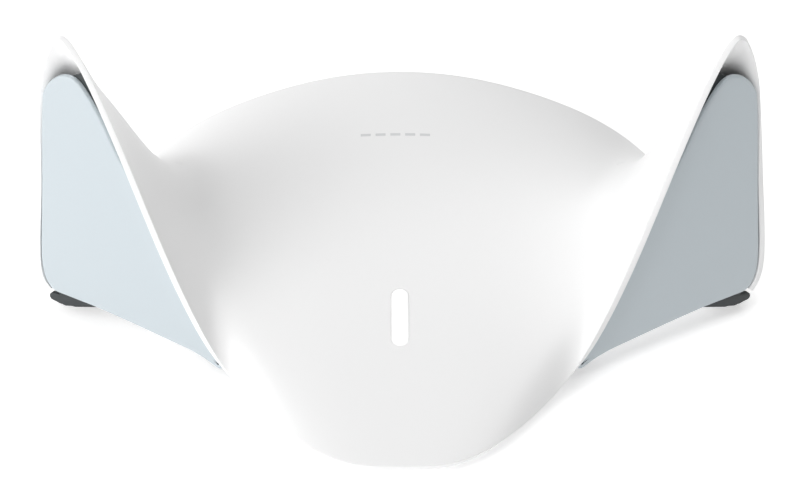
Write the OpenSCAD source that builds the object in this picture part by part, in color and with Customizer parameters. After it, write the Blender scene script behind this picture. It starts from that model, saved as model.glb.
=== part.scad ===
// Wireless router with a swept white top shell that rises into two upright
// wings.  Each wing is a hollow horn whose open side, facing forwards and
// outwards, is closed by a blue-grey antenna panel.
//
// Frame: millimetres, +Z up, the front edge towards -Y, the sockets towards
// +Y, and the origin on the table in the middle of the plan.

/* [Body] */
// Width over both wings
body_w = 304; // [270:1:365]
// Depth, front edge to rear edge
body_d = 208; // [190:1:250]
// Height of the wing tips above the table
body_h = 130; // [108:1:156]
// Height of the deck at the middle of its rear edge
rear_h = 45; // [40:1:56]
// Height of the front edge above the table
edge_h = 6; // [5.5:0.1:7.2]
// Thickness of the top shell
shell_wall = 2.5; // [2:0.1:3]
// Thickness of the floor of the bottom case
floor_t = 2.5; // [2:0.1:3]
// Thickness of the rear bezel
bezel_t = 2; // [1.6:0.1:2.6]

/* [Wings] */
// Thickness of a wing panel
panel_t = 2; // [1.6:0.1:2.6]
// Thickness of the dark carrier behind a panel
carrier_t = 2; // [1.6:0.1:2.6]
// Corner radius of a wing panel
panel_corner = 3; // [2:0.25:4]
// Depth of a panel's face behind the rim
panel_set = 1; // [0.5:0.1:2]
// Thickness of an antenna board
antenna_board_t = 1; // [0.8:0.1:1.4]
// Diameter of the antenna cables
coax_d = 2; // [1.6:0.1:2.6]

/* [Light] */
// Width of the status light in the deck
light_w = 7; // [5.5:0.1:8.5]
// Length of the status light
light_l = 28; // [22:1:34]
// Distance of the light's middle in front of the origin
light_y = 34; // [28:1:40]

/* [Sockets and buttons] */
// Width of a network socket
jack_w = 15.9; // [13:0.1:16.2]
// Height of a network socket
jack_h = 13.5; // [11:0.1:14.5]
// Length of a network socket
jack_l = 21.3; // [18:0.1:25.6]
// Gap between neighbouring network sockets
jack_gap = 0.7; // [0.5:0.1:2]
// Diameter of the power inlet's bore
dc_bore = 6.3; // [5.3:0.1:7.6]
// Diameter of the power button
power_d = 8; // [6.6:0.1:9.6]
// Travel of the power button
power_travel = 2; // [1:0.1:2.4]
// Diameter of the pairing button
pair_d = 6; // [5:0.1:7.2]
// Travel of the pairing button
pair_travel = 1.2; // [0.8:0.1:1.6]

/* [Circuit board] */
// Board beyond the middles of the outer buttons
board_margin = 10; // [8:0.5:12]
// Depth of the main board
board_d = 84; // [74:1:88]
// Thickness of the main board
board_t = 1.6; // [1.2:0.1:2]
// Height of the posts under the main board
post_h = 3; // [2.4:0.1:4]

/* [Fasteners and feet] */
// Diameter of a rubber foot
foot_d = 13; // [10:0.5:16]
// Height of a rubber foot
foot_h = 2; // [1.6:0.1:2.6]
// Thread diameter of the case screws
screw_d = 3; // [2.5:0.1:3.6]

/* [Clearances] */
// Gap between fixed pieces that are fitted next to each other
fit_gap = 0.3; // [0.2:0.05:0.5]
// Gap round a button that slides
slide_gap = 0.35; // [0.3:0.05:0.5]

/* [Hidden] */

$fn = 40;
shell_white = "#f2f2f2";
panel_blue = "#b4bec6";
dark_grey = "#3a4042";
board_green = "#1f5b3a";
metal = "#c4c7ca";
black = "#1d1f21";
brass = "#b08d4a";

// The control net of the top shell, drawn at its design size: rows run from
// the front edge to the rear edge, and the nine points of a row run from the
// middle to a wing's outer edge.
net_w = 304;
net_d = 208;
net_h = 130;
net_rear_h = 45;
net_edge_h = 6;
net = [
    [[0, -104, 6], [22, -104, 6], [44, -88, 6], [64.6, -60, 4], [78, -46.4, 18],
     [94, -29.4, 50], [110, -10.2, 91.3], [129.9, 12.5, 132.5], [136.7, 15.4, 124.7]],
    [[0, -53, 17], [34, -51, 18], [58, -40, 20], [74, -25, 30], [88, -10, 47],
     [103, 0, 71], [117, 10, 98], [130, 20, 126], [144.3, 19.5, 109]],
    [[0, 0, 29], [32, 0, 30], [60, 5, 34], [79, 12, 42], [93, 20, 53],
     [107, 25, 74], [121, 28, 99], [139, 25, 101], [148.3, 5, 59]],
    [[0, 54, 40], [30, 53, 38], [60, 52, 35], [84, 52, 32], [99, 53, 33],
     [116, 50, 42], [131, 39, 55], [146, 21, 52], [153.2, -1.6, 18.6]],
    [[0, 104, 45], [30, 104, 42], [58, 100, 36], [84, 93, 29], [106, 82, 20],
     [124, 63, 8], [136, 40, 5], [144, 16, 6], [147.3, -6.6, 11.4]]];
last_col = len(net[0]) - 1;
last_row = len(net) - 1;
// Columns up to this one belong to the deck, and the rest to a wing
deck_cols = 3;
// The deck's part of the shell, over which each plan point is met only once
plan_cols = 5.4;
shell_nu = 60;
shell_nv = 22;

// A net point at the size that is set
function sized(p, deck) =
    let (lift = deck ? (rear_h - edge_h) / (net_rear_h - net_edge_h)
                     : (body_h - edge_h) / (net_h - net_edge_h))
    [p.x * body_w / net_w, p.y * body_d / net_d,
     edge_h + (p.z - net_edge_h) * lift];
half_net = [for (r = [0:last_row]) [for (c = [0:last_col])
    sized(net[r][c], c <= deck_cols || r == last_row)]];
full_net = [for (row = half_net) concat(
    [for (c = [last_col:-1:1]) [-row[c].x, row[c].y, row[c].z]], row)];

// Cubic B-spline that starts and ends on its first and last points
function weights(t) = [pow(1 - t, 3), 3 * pow(t, 3) - 6 * pow(t, 2) + 4,
    -3 * pow(t, 3) + 3 * pow(t, 2) + 3 * t + 1, pow(t, 3)] / 6;
function slopes(t) = [-pow(1 - t, 2), 3 * pow(t, 2) - 4 * t,
    -3 * pow(t, 2) + 2 * t + 1, pow(t, 2)] / 2;
function span_of(p, s) = max(0, min(floor(s), len(p) - 2));
function spline(p, s, slope = false) =
    let (n = len(p) - 1, i = span_of(p, s), t = s - i,
         w = slope ? slopes(t) : weights(t),
         before = i == 0 ? 2 * p[0] - p[1] : p[i - 1],
         after = i == n - 1 ? 2 * p[n] - p[n - 1] : p[i + 2])
    w[0] * before + w[1] * p[i] + w[2] * p[i + 1] + w[3] * after;

// Point of the top shell's outer face: u from -last_col to last_col across,
// v from 0 to last_row, front to rear
function across(u, slope = false) =
    [for (row = full_net) spline(row, u + last_col, slope)];
function face(u, v) = spline(across(u), v);
function face_normal(u, v) =
    let (a = cross(spline(across(u, true), v), spline(across(u), v, true)))
    a / norm(a);
function below(u, v, depth) = face(u, v) - depth * face_normal(u, v);
function row_at(y, low = 0, high = last_row, tries = 18) =
    let (mid = (low + high) / 2)
    tries == 0 ? mid
    : face(0, mid).y < y ? row_at(y, mid, high, tries - 1)
    : row_at(y, low, mid, tries - 1);
// Height of the deck's outer face over the middle line
function deck_z(y) = face(0, row_at(y)).z;

// The wing plane: from the foot of the wing's front edge to its heel, and up
// to the tip
wing_foot = sized([74.5, -49, 6], false);
wing_heel = sized([143.5, -11, 6], false);
wing_tip = sized([136.5, 13.6, 128], false);
wing_yaw = atan2(wing_heel.y - wing_foot.y, wing_heel.x - wing_foot.x);
along = [cos(wing_yaw), sin(wing_yaw), 0];
wing_rise = (wing_tip - wing_foot) - ((wing_tip - wing_foot) * along) * along;
wing_up = wing_rise / norm(wing_rise);
wing_lean = acos(wing_up.z);
wing_out = cross(along, wing_up);
wing_len = norm(wing_heel - wing_foot);
wing_rim_h = (wing_tip - wing_foot) * wing_up;
function on_wing(p) = [(p - wing_foot) * along, (p - wing_foot) * wing_up];

// Distance from the shell's outer edge to what is set into a wing
wing_inset = 1.1 * shell_wall + fit_gap;

// Heights
floor_z = foot_h - 0.5;
inside_z = floor_z + floor_t;
board_z = inside_z + post_h;
board_top = board_z + board_t;

// Plan of the inside
bezel_y = body_d / 2 - 14;
board_y1 = bezel_y - bezel_t - fit_gap;
board_y0 = board_y1 - board_d;
jack_face_y = bezel_y + 0.4;
dc_w = dc_bore + 3.7;
dc_h = dc_bore + 4.7;
dc_l = 14;
usb_w = 13.2;
usb_h = 5.8;
usb_l = 14;
usb_metal = 0.35;
switch_s = 8;
socket_gap = 4.4;
jack_count = 5;
jack_pitch = jack_w + jack_gap;
jack_x0 = 1 - jack_pitch * (jack_count - 1) / 2;
jack_x1 = jack_x0 + jack_pitch * (jack_count - 1);
usb_x = jack_x1 + jack_w / 2 + socket_gap + usb_w / 2;
dc_x = jack_x0 - jack_w / 2 - socket_gap - dc_w / 2;
power_x = dc_x - dc_w / 2 - 2 * socket_gap - switch_s / 4;
pair_x = usb_x + usb_w / 2 + socket_gap + switch_s / 2;
board_w = max(pair_x, -power_x) * 2 + 2 * board_margin;

// Places that repeat
case_screw_at = [for (p = [[58, -22], [96, 46]]) for (s = [-1, 1])
    [s * p.x * body_w / net_w, p.y * body_d / net_d]];
board_screw_at = [for (y = [board_y0 + 5, board_y1 - 28])
    for (x = [-board_w / 2 + 5, board_w / 2 - 5]) [x, y]];
foot_at = [for (p = [[30, -74], [98, 22], [52, 78]]) for (s = [-1, 1])
    [s * p.x * body_w / net_w, p.y * body_d / net_d]];

// ---------------------------------------------------------------- helpers

// Solid between two matching grids of points, closed round their edges
module between(top, bottom) {
    nv = len(top);
    nu = len(top[0]);
    count = nu * nv;
    pts = concat([for (r = top) for (p = r) p], [for (r = bottom) for (p = r) p]);
    rim = concat([for (i = [0:nu - 1]) i],
        [for (j = [1:nv - 1]) j * nu + nu - 1],
        [for (i = [nu - 2:-1:0]) (nv - 1) * nu + i],
        [for (j = [nv - 2:-1:1]) j * nu]);
    faces = concat(
        [for (j = [0:nv - 2]) for (i = [0:nu - 2])
            each [[j * nu + i, (j + 1) * nu + i, j * nu + i + 1],
                  [j * nu + i + 1, (j + 1) * nu + i, (j + 1) * nu + i + 1]]],
        [for (j = [0:nv - 2]) for (i = [0:nu - 2])
            each [[count + j * nu + i, count + j * nu + i + 1, count + (j + 1) * nu + i],
                  [count + j * nu + i + 1, count + (j + 1) * nu + i + 1,
                   count + (j + 1) * nu + i]]],
        [for (k = [0:len(rim) - 1]) let (a = rim[k], b = rim[(k + 1) % len(rim)])
            each [[a, b, count + a], [b, count + b, count + a]]]);
    polyhedron(pts, faces, convexity = 10);
}

// Everything under the deck and the wings' inner faces, from the given depth
// below the outer face down to the table
module under_deck(depth) {
    us = [for (i = [0:36]) plan_cols * (i / 18 - 1)];
    vs = [for (j = [0:20]) last_row * j / 20];
    top = [for (v = vs) [for (u = us) below(u, v, depth)]];
    between(top, [for (r = top) [for (p = r) [p.x, p.y, -20]]]);
}

// The shell of the right wing grown outwards, to trim what is set into it
module around_horn() {
    reach = 14;
    first_u = 2.6;
    last_u = last_col + 0.3;
    first_v = -0.25;
    us = [for (i = [0:54]) first_u + (last_u - first_u) * i / 54];
    vs = [for (j = [0:32]) first_v + (last_row - first_v) * j / 32];
    between([for (v = vs) [for (u = us) below(u, v, -reach)]],
        [for (v = vs) [for (u = us) below(u, v, shell_wall + fit_gap)]]);
}

// Joins its children into one faceted solid, for swept and free-form shapes
module as_mesh() {
    resize([0, 0, 0]) union() children();
}

// Draws its children for both wings or one of them; the right wing is drawn
module on_side(side) {
    if (side == "left") mirror([1, 0, 0]) children();
    else children();
}

// Puts a flat shape on the wing plane, its Z pointing out of the wing
module on_wing_plane(depth) {
    translate(wing_foot) rotate([90 - wing_lean, 0, wing_yaw])
        translate([0, 0, -depth]) children();
}

module stadium(w, l) {
    for (s = [-1, 1]) translate([0, s * (l - w) / 2]) circle(d = w);
    square([w, l - w], center = true);
}

module block(size, at) {
    translate([at.x - size.x / 2, at.y - size.y / 2, at.z]) cube(size);
}

// Plate with the near corners rounded
module round_plate(w, d, t, r) {
    linear_extrude(t) hull() for (x = [-1, 1]) for (y = [-1, 1])
        translate([x * (w / 2 - r), y * (d / 2 - r)]) circle(r = r, $fn = 24);
}

// Tube swept along a route with eight sides
function ring_frame(d) = let (s = cross(d, [0, 0, 1]),
    side = norm(s) < 0.1 ? [1, 0, 0] : s / norm(s)) [side, cross(side, d)];
module tube(route, d, rings, sides = 8) {
    n = len(route) - 1;
    pts = [for (k = [0:rings]) let (s = n * k / rings, c = spline(route, s),
            t = spline(route, s, true), f = ring_frame(t / norm(t)))
        for (a = [0:sides - 1])
            c + d / 2 * (cos(a * 360 / sides) * f[0] + sin(a * 360 / sides) * f[1])];
    walls = [for (k = [0:rings - 1]) for (a = [0:sides - 1])
        let (b = (a + 1) % sides)
        each [[k * sides + a, (k + 1) * sides + a, k * sides + b],
              [k * sides + b, (k + 1) * sides + a, (k + 1) * sides + b]]];
    polyhedron(pts, concat(walls, [[for (a = [0:sides - 1]) a]],
        [[for (a = [sides - 1:-1:0]) rings * sides + a]]), convexity = 4);
}

// ------------------------------------------------------------------ shell

// Outline of the wing's open side, on the wing plane, and of the open space
// below it
module wing_opening() {
    front = [for (i = [0:28]) on_wing(face(2.9 + (last_col - 2.9) * i / 28, 0))];
    outer = [for (j = [1:24]) on_wing(face(last_col, last_row * j / 24))];
    polygon(concat(front, outer, [[1.15 * wing_len, 0.03 * wing_rim_h],
        [1.15 * wing_len, -0.1 * wing_rim_h], [-0.3 * wing_len, -0.1 * wing_rim_h]]));
}

// The opening drawn in by an inset, and kept above one line and below another;
// the foot line's heights are in millimetres and the rest in shares of the wing
module wing_shape(inset, foot_line, top_line, round_off) {
    module kept() {
        intersection() {
            offset(delta = -inset) wing_opening();
            polygon(concat([for (p = foot_line) [p.x * wing_len, p.y]],
                [for (i = [0:48]) let (p = spline(top_line, (len(top_line) - 1) * i / 48))
                    [p.x * wing_len, p.y * wing_rim_h]]));
        }
    }
    union() {
        offset(r = round_off) offset(r = -round_off) kept();
        intersection() {
            kept();
            translate([-wing_len, -wing_len]) square([1.6 * wing_len, 1.5 * wing_len]);
        }
    }
}

panel_foot = [[-0.5, 50], [-0.07, 8], [-0.016, -0.3], [0.08, 2.4], [0.17, 3.8],
    [0.54, 6], [0.77, 7], [1.4, 7.2]];
panel_top = [[1.4, 0.6], [1.15, 0.75], [1.115, 0.81], [1.06, 0.852], [1, 0.867],
    [0.945, 0.865], [0.9, 0.842], [0.85, 0.808], [0.8, 0.768], [0.75, 0.724],
    [0.7, 0.67], [0.64, 0.61], [0.2, 0.3]];
carrier_foot = [[-0.5, 80], [0.1, 16], [0.2, 9], [0.6, 8], [0.74, 6.5],
    [0.8, 4.8], [0.905, 1.8], [1, 0.6], [1.06, 1.4], [1.105, 4], [1.14, 8], [1.4, 40]];
carrier_top = [[1.4, 0.5], [1.12, 0.73], [1.05, 0.81], [1, 0.85], [0.95, 0.872],
    [0.9, 0.885], [0.85, 0.89], [0.78, 0.89], [0.4, 0.89]];

module wing_panel(side) color(panel_blue) as_mesh() on_side(side) difference() {
    on_wing_plane(panel_set + panel_t) linear_extrude(panel_t)
        wing_shape(wing_inset, panel_foot, panel_top, panel_corner);
    around_horn();
}

carrier_back = panel_set + panel_t + carrier_t;
stand_h = 2.5;
stand_d = 5;
antenna_screw_d = 1.7;
antenna_head_d = 3.6;
antenna_head_h = 1.2;
// The carrier's corner at the heel, just under the end of the shell's rim
module carrier_heel() {
    rim_end = on_wing(face(last_col, last_row));
    r = 1.7;
    hull() {
        translate(rim_end - [r, r + 1.2]) circle(r = r, $fn = 24);
        translate([0.97 * wing_len, r + 0.6]) circle(r = r, $fn = 24);
        translate([0.9 * wing_len, 2 * r + 0.6]) circle(r = r, $fn = 24);
    }
}
module antenna_carrier(side) color(dark_grey) as_mesh() on_side(side) {
    difference() {
        on_wing_plane(carrier_back) linear_extrude(carrier_t) {
            wing_shape(wing_inset, carrier_foot, carrier_top, 1.5);
            carrier_heel();
        }
        around_horn();
    }
    for (p = antenna_screw_at) on_wing_plane(carrier_back + stand_h)
        translate(p) linear_extrude(stand_h + 0.5) difference() {
            circle(d = stand_d);
            circle(d = antenna_screw_d + 0.1);
        }
}

board_front = carrier_back + stand_h;
antenna_screw_at = [[0.66 * wing_len, 0.18 * wing_rim_h],
    [0.86 * wing_len, 0.62 * wing_rim_h]];
module antenna_outline() {
    hull() {
        translate([0.58 * wing_len, 0.13 * wing_rim_h]) circle(r = 3, $fn = 24);
        translate([0.92 * wing_len, 0.13 * wing_rim_h]) circle(r = 3, $fn = 24);
        translate([0.8 * wing_len, 0.68 * wing_rim_h]) circle(r = 3, $fn = 24);
        translate([0.92 * wing_len, 0.68 * wing_rim_h]) circle(r = 3, $fn = 24);
    }
}
module antenna_board(side) color(board_green) on_side(side)
    on_wing_plane(board_front + antenna_board_t) linear_extrude(antenna_board_t)
        difference() {
            antenna_outline();
            for (p = antenna_screw_at) translate(p)
                circle(d = antenna_screw_d + 2 * fit_gap + 0.1);
        }

patch_t = 0.3;
module antenna_patches(side) color(brass) on_side(side)
    for (k = [0:2]) on_wing_plane(board_front + antenna_board_t + patch_t)
        translate([0.78 * wing_len, (0.26 + 0.12 * k) * wing_rim_h])
            linear_extrude(patch_t) square([10 - k, 11], center = true);

module antenna_screws(side) color(metal) on_side(side)
    for (p = antenna_screw_at) on_wing_plane(board_front + antenna_board_t)
        translate(p) {
            translate([0, 0, -antenna_head_h])
                cylinder(d = antenna_head_d, h = antenna_head_h);
            cylinder(d = antenna_screw_d, h = antenna_board_t + stand_h);
        }

plug_h = 1.6;
plug_d = 3;
plug_at = [0.76 * wing_len, 0.15 * wing_rim_h];
cable_plug = wing_foot + plug_at.x * along + plug_at.y * wing_up
    - (board_front + antenna_board_t + plug_h) * wing_out;
board_plug = [board_w / 2 - 12, board_y0 + 18, board_top + 2.6];
module antenna_cable(side) color(black) on_side(side)
    tube([cable_plug, cable_plug - 5 * wing_out, cable_plug + [-9, 8, -2],
        [104, 14, 16], [94, 20, 15], [84, board_plug.y - 1, board_plug.z + 5],
        [board_plug.x + 4, board_plug.y, board_plug.z + 5.5],
        board_plug + [0, 0, 4], board_plug], coax_d, 40);

module boss_at(p, z, d, hole) {
    translate([p.x, p.y, z]) difference() {
        cylinder(d = d, h = 60);
        translate([0, 0, -1]) cylinder(d = hole, h = 12);
    }
}

module top_shell() color(shell_white) as_mesh() {
    us = [for (i = [0:shell_nu]) last_col * (2 * i / shell_nu - 1)];
    vs = [for (j = [0:shell_nv]) last_row * j / shell_nv];
    difference() {
        between([for (v = vs) [for (u = us) face(u, v)]],
            [for (v = vs) [for (u = us) below(u, v, shell_wall)]]);
        light_slot(fit_gap / 2);
    }
    intersection() {
        under_deck(shell_wall / 2);
        for (p = case_screw_at) boss_at(p, inside_z, 7.5, screw_d - 0.3);
    }
}

// ------------------------------------------------------------------ light

light_slope = atan2(deck_z(-light_y + light_l / 2) - deck_z(-light_y - light_l / 2),
    light_l);
module on_light() {
    translate([0, -light_y, deck_z(-light_y)]) rotate([light_slope, 0, 0]) children();
}
module light_slot(grow) {
    on_light() translate([0, 0, -4 * shell_wall]) linear_extrude(8 * shell_wall)
        stadium(light_w + 2 * grow, light_l + 2 * grow);
}
light_flange = 1.2;
light_depth = 9;
module light_guide() color("#fbfbfb") on_light() {
    translate([0, 0, -light_depth]) linear_extrude(light_depth)
        stadium(light_w, light_l);
    translate([0, 0, -shell_wall - fit_gap - light_flange])
        linear_extrude(light_flange) stadium(light_w + 5, light_l + 5);
}

light_board_z = inside_z + 1.5;
module light_board() color(board_green) {
    translate([0, -light_y, light_board_z]) round_plate(14, light_l + 6, 1, 1.5);
}
module status_leds() color("#f4f1d8") for (k = [-1:1])
    block([2.8, 3.5, 1.2], [0, -light_y + k * 8, light_board_z + 1]);

ribbon_t = 0.3;
module light_ribbon() color("#e9e6de") {
    y0 = -light_y + light_l / 2 - 2;
    y1 = board_y0 + 6;
    low = light_board_z + 1;
    high = board_top;
    route = [[y0, low], [y0 + 5, low], [(y0 + y1) / 2, high + 3], [y1 - 4, high],
        [y1, high]];
    translate([-4, 0, 0]) rotate([90, 0, 90]) linear_extrude(8)
        polygon(concat([for (k = [0:16]) spline(route, k / 4)],
            [for (k = [16:-1:0]) spline(route, k / 4) + [0, ribbon_t]]));
}

// ------------------------------------------------------------------- case

// Plan of the floor, clear of the shell's front lip and of the wings' feet
module floor_plan() {
    front = [for (i = [0:20]) let (p = face(3 * (i / 10 - 1), 0)) [p.x, p.y]];
    heel = [wing_heel.x, wing_heel.y];
    rear = [for (i = [0:24]) let (p = face(7 - 14 * i / 24, last_row)) [p.x, p.y]];
    intersection() {
        offset(r = -shell_wall - 4) polygon(concat(front, [heel], rear,
            [[-heel.x, heel.y]]));
        translate([-body_w, -body_d]) square([2 * body_w, body_d + bezel_y]);
        clear_of_wings();
    }
}
// Everything far enough behind both wing planes
module clear_of_wings() {
    polygon([[0, -body_d], [wing_foot.x - 12, wing_foot.y - 14],
        [wing_foot.x - wing_clear * sin(wing_yaw), wing_foot.y + wing_clear * cos(wing_yaw)],
        [wing_heel.x - wing_clear * sin(wing_yaw), wing_heel.y + wing_clear * cos(wing_yaw)],
        [body_w, body_d], [-body_w, body_d],
        [-wing_heel.x + wing_clear * sin(wing_yaw), wing_heel.y + wing_clear * cos(wing_yaw)],
        [-wing_foot.x + wing_clear * sin(wing_yaw), wing_foot.y + wing_clear * cos(wing_yaw)],
        [-wing_foot.x + 12, wing_foot.y - 14]]);
}

// Sloping skirt that closes the horn's bottom, from the floor's edge up to
// the carrier's back; its profile runs from the wing plane backwards
wing_clear = 15;
skirt_t = 2;
skirt_rise = 6;
module wing_skirt() {
    back = wing_clear + 3;
    front = (carrier_back + 2 * fit_gap) / cos(wing_lean) + skirt_rise * tan(wing_lean);
    top = edge_h + skirt_rise - floor_z;
    translate([wing_foot.x, wing_foot.y, floor_z]) rotate([0, 0, wing_yaw])
        translate([0.1 * wing_len, 0, 0]) rotate([90, 0, 90])
            linear_extrude(0.82 * wing_len) polygon([[back, 0], [wing_clear, 0],
                [front, top - skirt_t], [front, top], [wing_clear, floor_t],
                [back, floor_t]]);
}

vent_w = 2.2;
vent_l = 32;
label_w = 66;
label_d = 34;
label_t = 0.3;
label_y = -30;
module bottom_case() color("#e4e5e6") {
    difference() {
        translate([0, 0, floor_z]) linear_extrude(floor_t) floor_plan();
        for (k = [-6:6]) for (y = [20, 60])
            translate([k * 6, y * body_d / net_d, floor_z - 1])
                linear_extrude(floor_t + 2) stadium(vent_w, vent_l);
        for (p = case_screw_at) translate([p.x, p.y, floor_z - 1]) {
            cylinder(d = screw_d + 2 * fit_gap, h = floor_t + 2);
            cylinder(d = 2 * screw_d + 2 * fit_gap, h = 1 + screw_head);
        }
        for (p = foot_at) translate([p.x, p.y, floor_z - 1])
            cylinder(d = foot_d + fit_gap, h = 1 + foot_h - floor_z);
        block([label_w + fit_gap, label_d + fit_gap, 1 + label_t],
            [0, label_y, floor_z - 1]);
    }
    for (p = board_screw_at) translate([p.x, p.y, inside_z - 0.5]) difference() {
        cylinder(d = post_d, h = post_h + 0.5);
        translate([0, 0, 0.5]) cylinder(d = board_screw_d + 0.2, h = post_h + 1);
    }
    for (s = [-1, 1]) block([4, 4, light_board_z - inside_z + 0.5],
        [0, -light_y + s * (light_l / 2 - 2), inside_z - 0.5]);
    for (side = ["left", "right"]) on_side(side) wing_skirt();
}

screw_head = 1.6;
module case_screws() color(metal) for (p = case_screw_at)
    translate([p.x, p.y, floor_z]) {
        cylinder(d = 2 * screw_d, h = screw_head);
        cylinder(d = screw_d - 0.4, h = floor_t + 8);
    }

module rubber_feet() color(black) for (p = foot_at)
    translate([p.x, p.y, 0]) cylinder(d = foot_d, h = foot_h);

module label_plate() color("#f6f6f4")
    block([label_w, label_d, label_t], [0, label_y, floor_z]);

// Plan of the space behind the shell's rear edge, drawn in by an inset and
// cut straight across behind the socket row
plan_inset = 4;
module inside_plan(inset) {
    rear = [for (i = [0:24]) let (p = face(7 - 14 * i / 24, last_row)) [p.x, p.y]];
    intersection() {
        offset(r = -inset)
            polygon(concat([[-body_w / 2, -body_d], [body_w / 2, -body_d]], rear));
        translate([-body_w, -body_d])
            square([2 * body_w, body_d + bezel_y - (inset - plan_inset)]);
    }
}

// The wall under the rear arch, from one wing's root to the other
module rear_wall_plan() {
    wall_w = 2 * face(plan_cols, last_row).x - 6;
    intersection() {
        difference() {
            inside_plan(plan_inset);
            inside_plan(plan_inset + bezel_t);
        }
        translate([-wall_w / 2, body_d * 0.26]) square([wall_w, body_d]);
    }
}

module rear_bezel() color("#dfe1e2") as_mesh() difference() {
    intersection() {
        translate([0, 0, inside_z]) linear_extrude(60) rear_wall_plan();
        under_deck(shell_wall + fit_gap);
    }
    for (k = [0:jack_count - 1]) port_hole(jack_x0 + k * jack_pitch, jack_w, jack_h);
    port_hole(usb_x, usb_w, usb_h);
    port_hole(dc_x, dc_w, dc_h);
    button_hole(power_x, power_d);
    button_hole(pair_x, pair_d);
}
module port_hole(x, w, h) {
    block([w + 2 * fit_gap, 4 * bezel_t, h + 2 * fit_gap],
        [x, bezel_y - bezel_t / 2, board_top - fit_gap]);
}
module button_hole(x, d) {
    translate([x, bezel_y + bezel_t, button_z]) rotate([90, 0, 0])
        cylinder(d = d + 2 * slide_gap, h = 4 * bezel_t);
}

// -------------------------------------------------------------- main board

module main_board() color(board_green) translate([0, 0, board_z])
    linear_extrude(board_t) difference() {
        intersection() {
            translate([-board_w / 2, board_y0]) square([board_w, board_d]);
            inside_plan(plan_inset + bezel_t + fit_gap);
        }
        for (p = board_screw_at) translate(p) circle(d = board_screw_d + 0.8);
    }

post_d = 6;
board_screw_d = 2.2;
board_head_d = 4.6;
board_head_h = 1.4;
module board_screws() color(metal) for (p = board_screw_at)
    translate([p.x, p.y, 0]) {
        translate([0, 0, board_top]) cylinder(d = board_head_d, h = board_head_h);
        translate([0, 0, inside_z + 0.4])
            cylinder(d = board_screw_d, h = board_top - inside_z);
    }

mouth_sill = 3.6;
module jack(k) {
    x = jack_x0 + k * jack_pitch;
    mouth = [jack_w - 4, 13, jack_h - mouth_sill - 2.9];
    latch = [6.2, 13, 2.2];
    difference() {
        block([jack_w, jack_l, jack_h], [x, jack_face_y - jack_l / 2, board_top]);
        block([mouth.x, mouth.y + 1, mouth.z],
            [x, jack_face_y + 0.5 - mouth.y / 2, board_top + mouth_sill]);
        block([latch.x, latch.y + 1, latch.z],
            [x, jack_face_y + 0.5 - latch.y / 2, board_top + mouth_sill - latch.z]);
    }
}
module wan_jack() color("#4a78b8") jack(0);
module lan_jack(k) color("#d8a93a") jack(k);

contact_d = 0.45;
contact_pitch = 1.02;
module jack_contacts() color(brass) for (k = [0:jack_count - 1]) for (c = [0:7])
    translate([jack_x0 + k * jack_pitch + (c - 3.5) * contact_pitch - contact_d / 2,
        jack_face_y - 12.4, board_top + jack_h - 2.9 - contact_d])
        cube([contact_d, 9, contact_d]);

module network_transformers() color(black) for (k = [0:jack_count - 1])
    block([13, 9, 5], [jack_x0 + k * jack_pitch, jack_face_y - jack_l - 8, board_top]);

module usb_jack() color(metal) difference() {
    block([usb_w, usb_l, usb_h], [usb_x, jack_face_y - usb_l / 2, board_top]);
    block([usb_w - 2 * usb_metal, usb_l, usb_h - 2 * usb_metal],
        [usb_x, jack_face_y - usb_l / 2 + usb_metal, board_top + usb_metal]);
}
module usb_tongue() color("#2f6fb5") {
    tongue_l = usb_l - usb_metal - 2.2;
    block([usb_w - 2.4, tongue_l, 1.8],
        [usb_x, jack_face_y - usb_l + usb_metal + tongue_l / 2,
         board_top + usb_h - usb_metal - 2.5]);
}

dc_z = board_top + dc_h / 2 + 0.2;
module dc_jack() color(black) difference() {
    block([dc_w, dc_l, dc_h], [dc_x, jack_face_y - dc_l / 2, board_top]);
    translate([dc_x, jack_face_y + 1, dc_z]) rotate([90, 0, 0])
        cylinder(d = dc_bore, h = 11);
}
module dc_pin() color(brass) translate([dc_x, jack_face_y - 1, dc_z])
    rotate([90, 0, 0]) cylinder(d = 2, h = 9);

// ----------------------------------------------------------------- buttons

button_z = board_top + 5.5;
plunger_s = 3.4;
plunger_l = 6;
button_l = 6;
module button_cap(x, d, travel) {
    translate([x, jack_face_y + travel, button_z]) rotate([90, 0, 0])
        cylinder(d = d, h = button_l + travel);
}
module button_plunger(x) {
    block([plunger_s, plunger_l, plunger_s],
        [x, jack_face_y - button_l - plunger_l / 2, button_z - plunger_s / 2]);
}
module button_switch(x, travel) {
    front = jack_face_y - button_l - travel - 2 * fit_gap;
    socket = plunger_s + 2 * slide_gap;
    difference() {
        block([switch_s, switch_s, button_z - board_top + switch_s / 2],
            [x, front - switch_s / 2, board_top]);
        block([socket, plunger_l + 1, socket],
            [x, front - plunger_l / 2, button_z - socket / 2]);
    }
}
module power_button() color("#e8e9ea") button_cap(power_x, power_d, power_travel);
module power_plunger() color(black) button_plunger(power_x);
module power_switch() color(metal) button_switch(power_x, power_travel);
module pair_button() color("#e8e9ea") button_cap(pair_x, pair_d, pair_travel);
module pair_plunger() color(black) button_plunger(pair_x);
module pair_switch() color(metal) button_switch(pair_x, pair_travel);

// ------------------------------------------------------------------- chips

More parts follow.
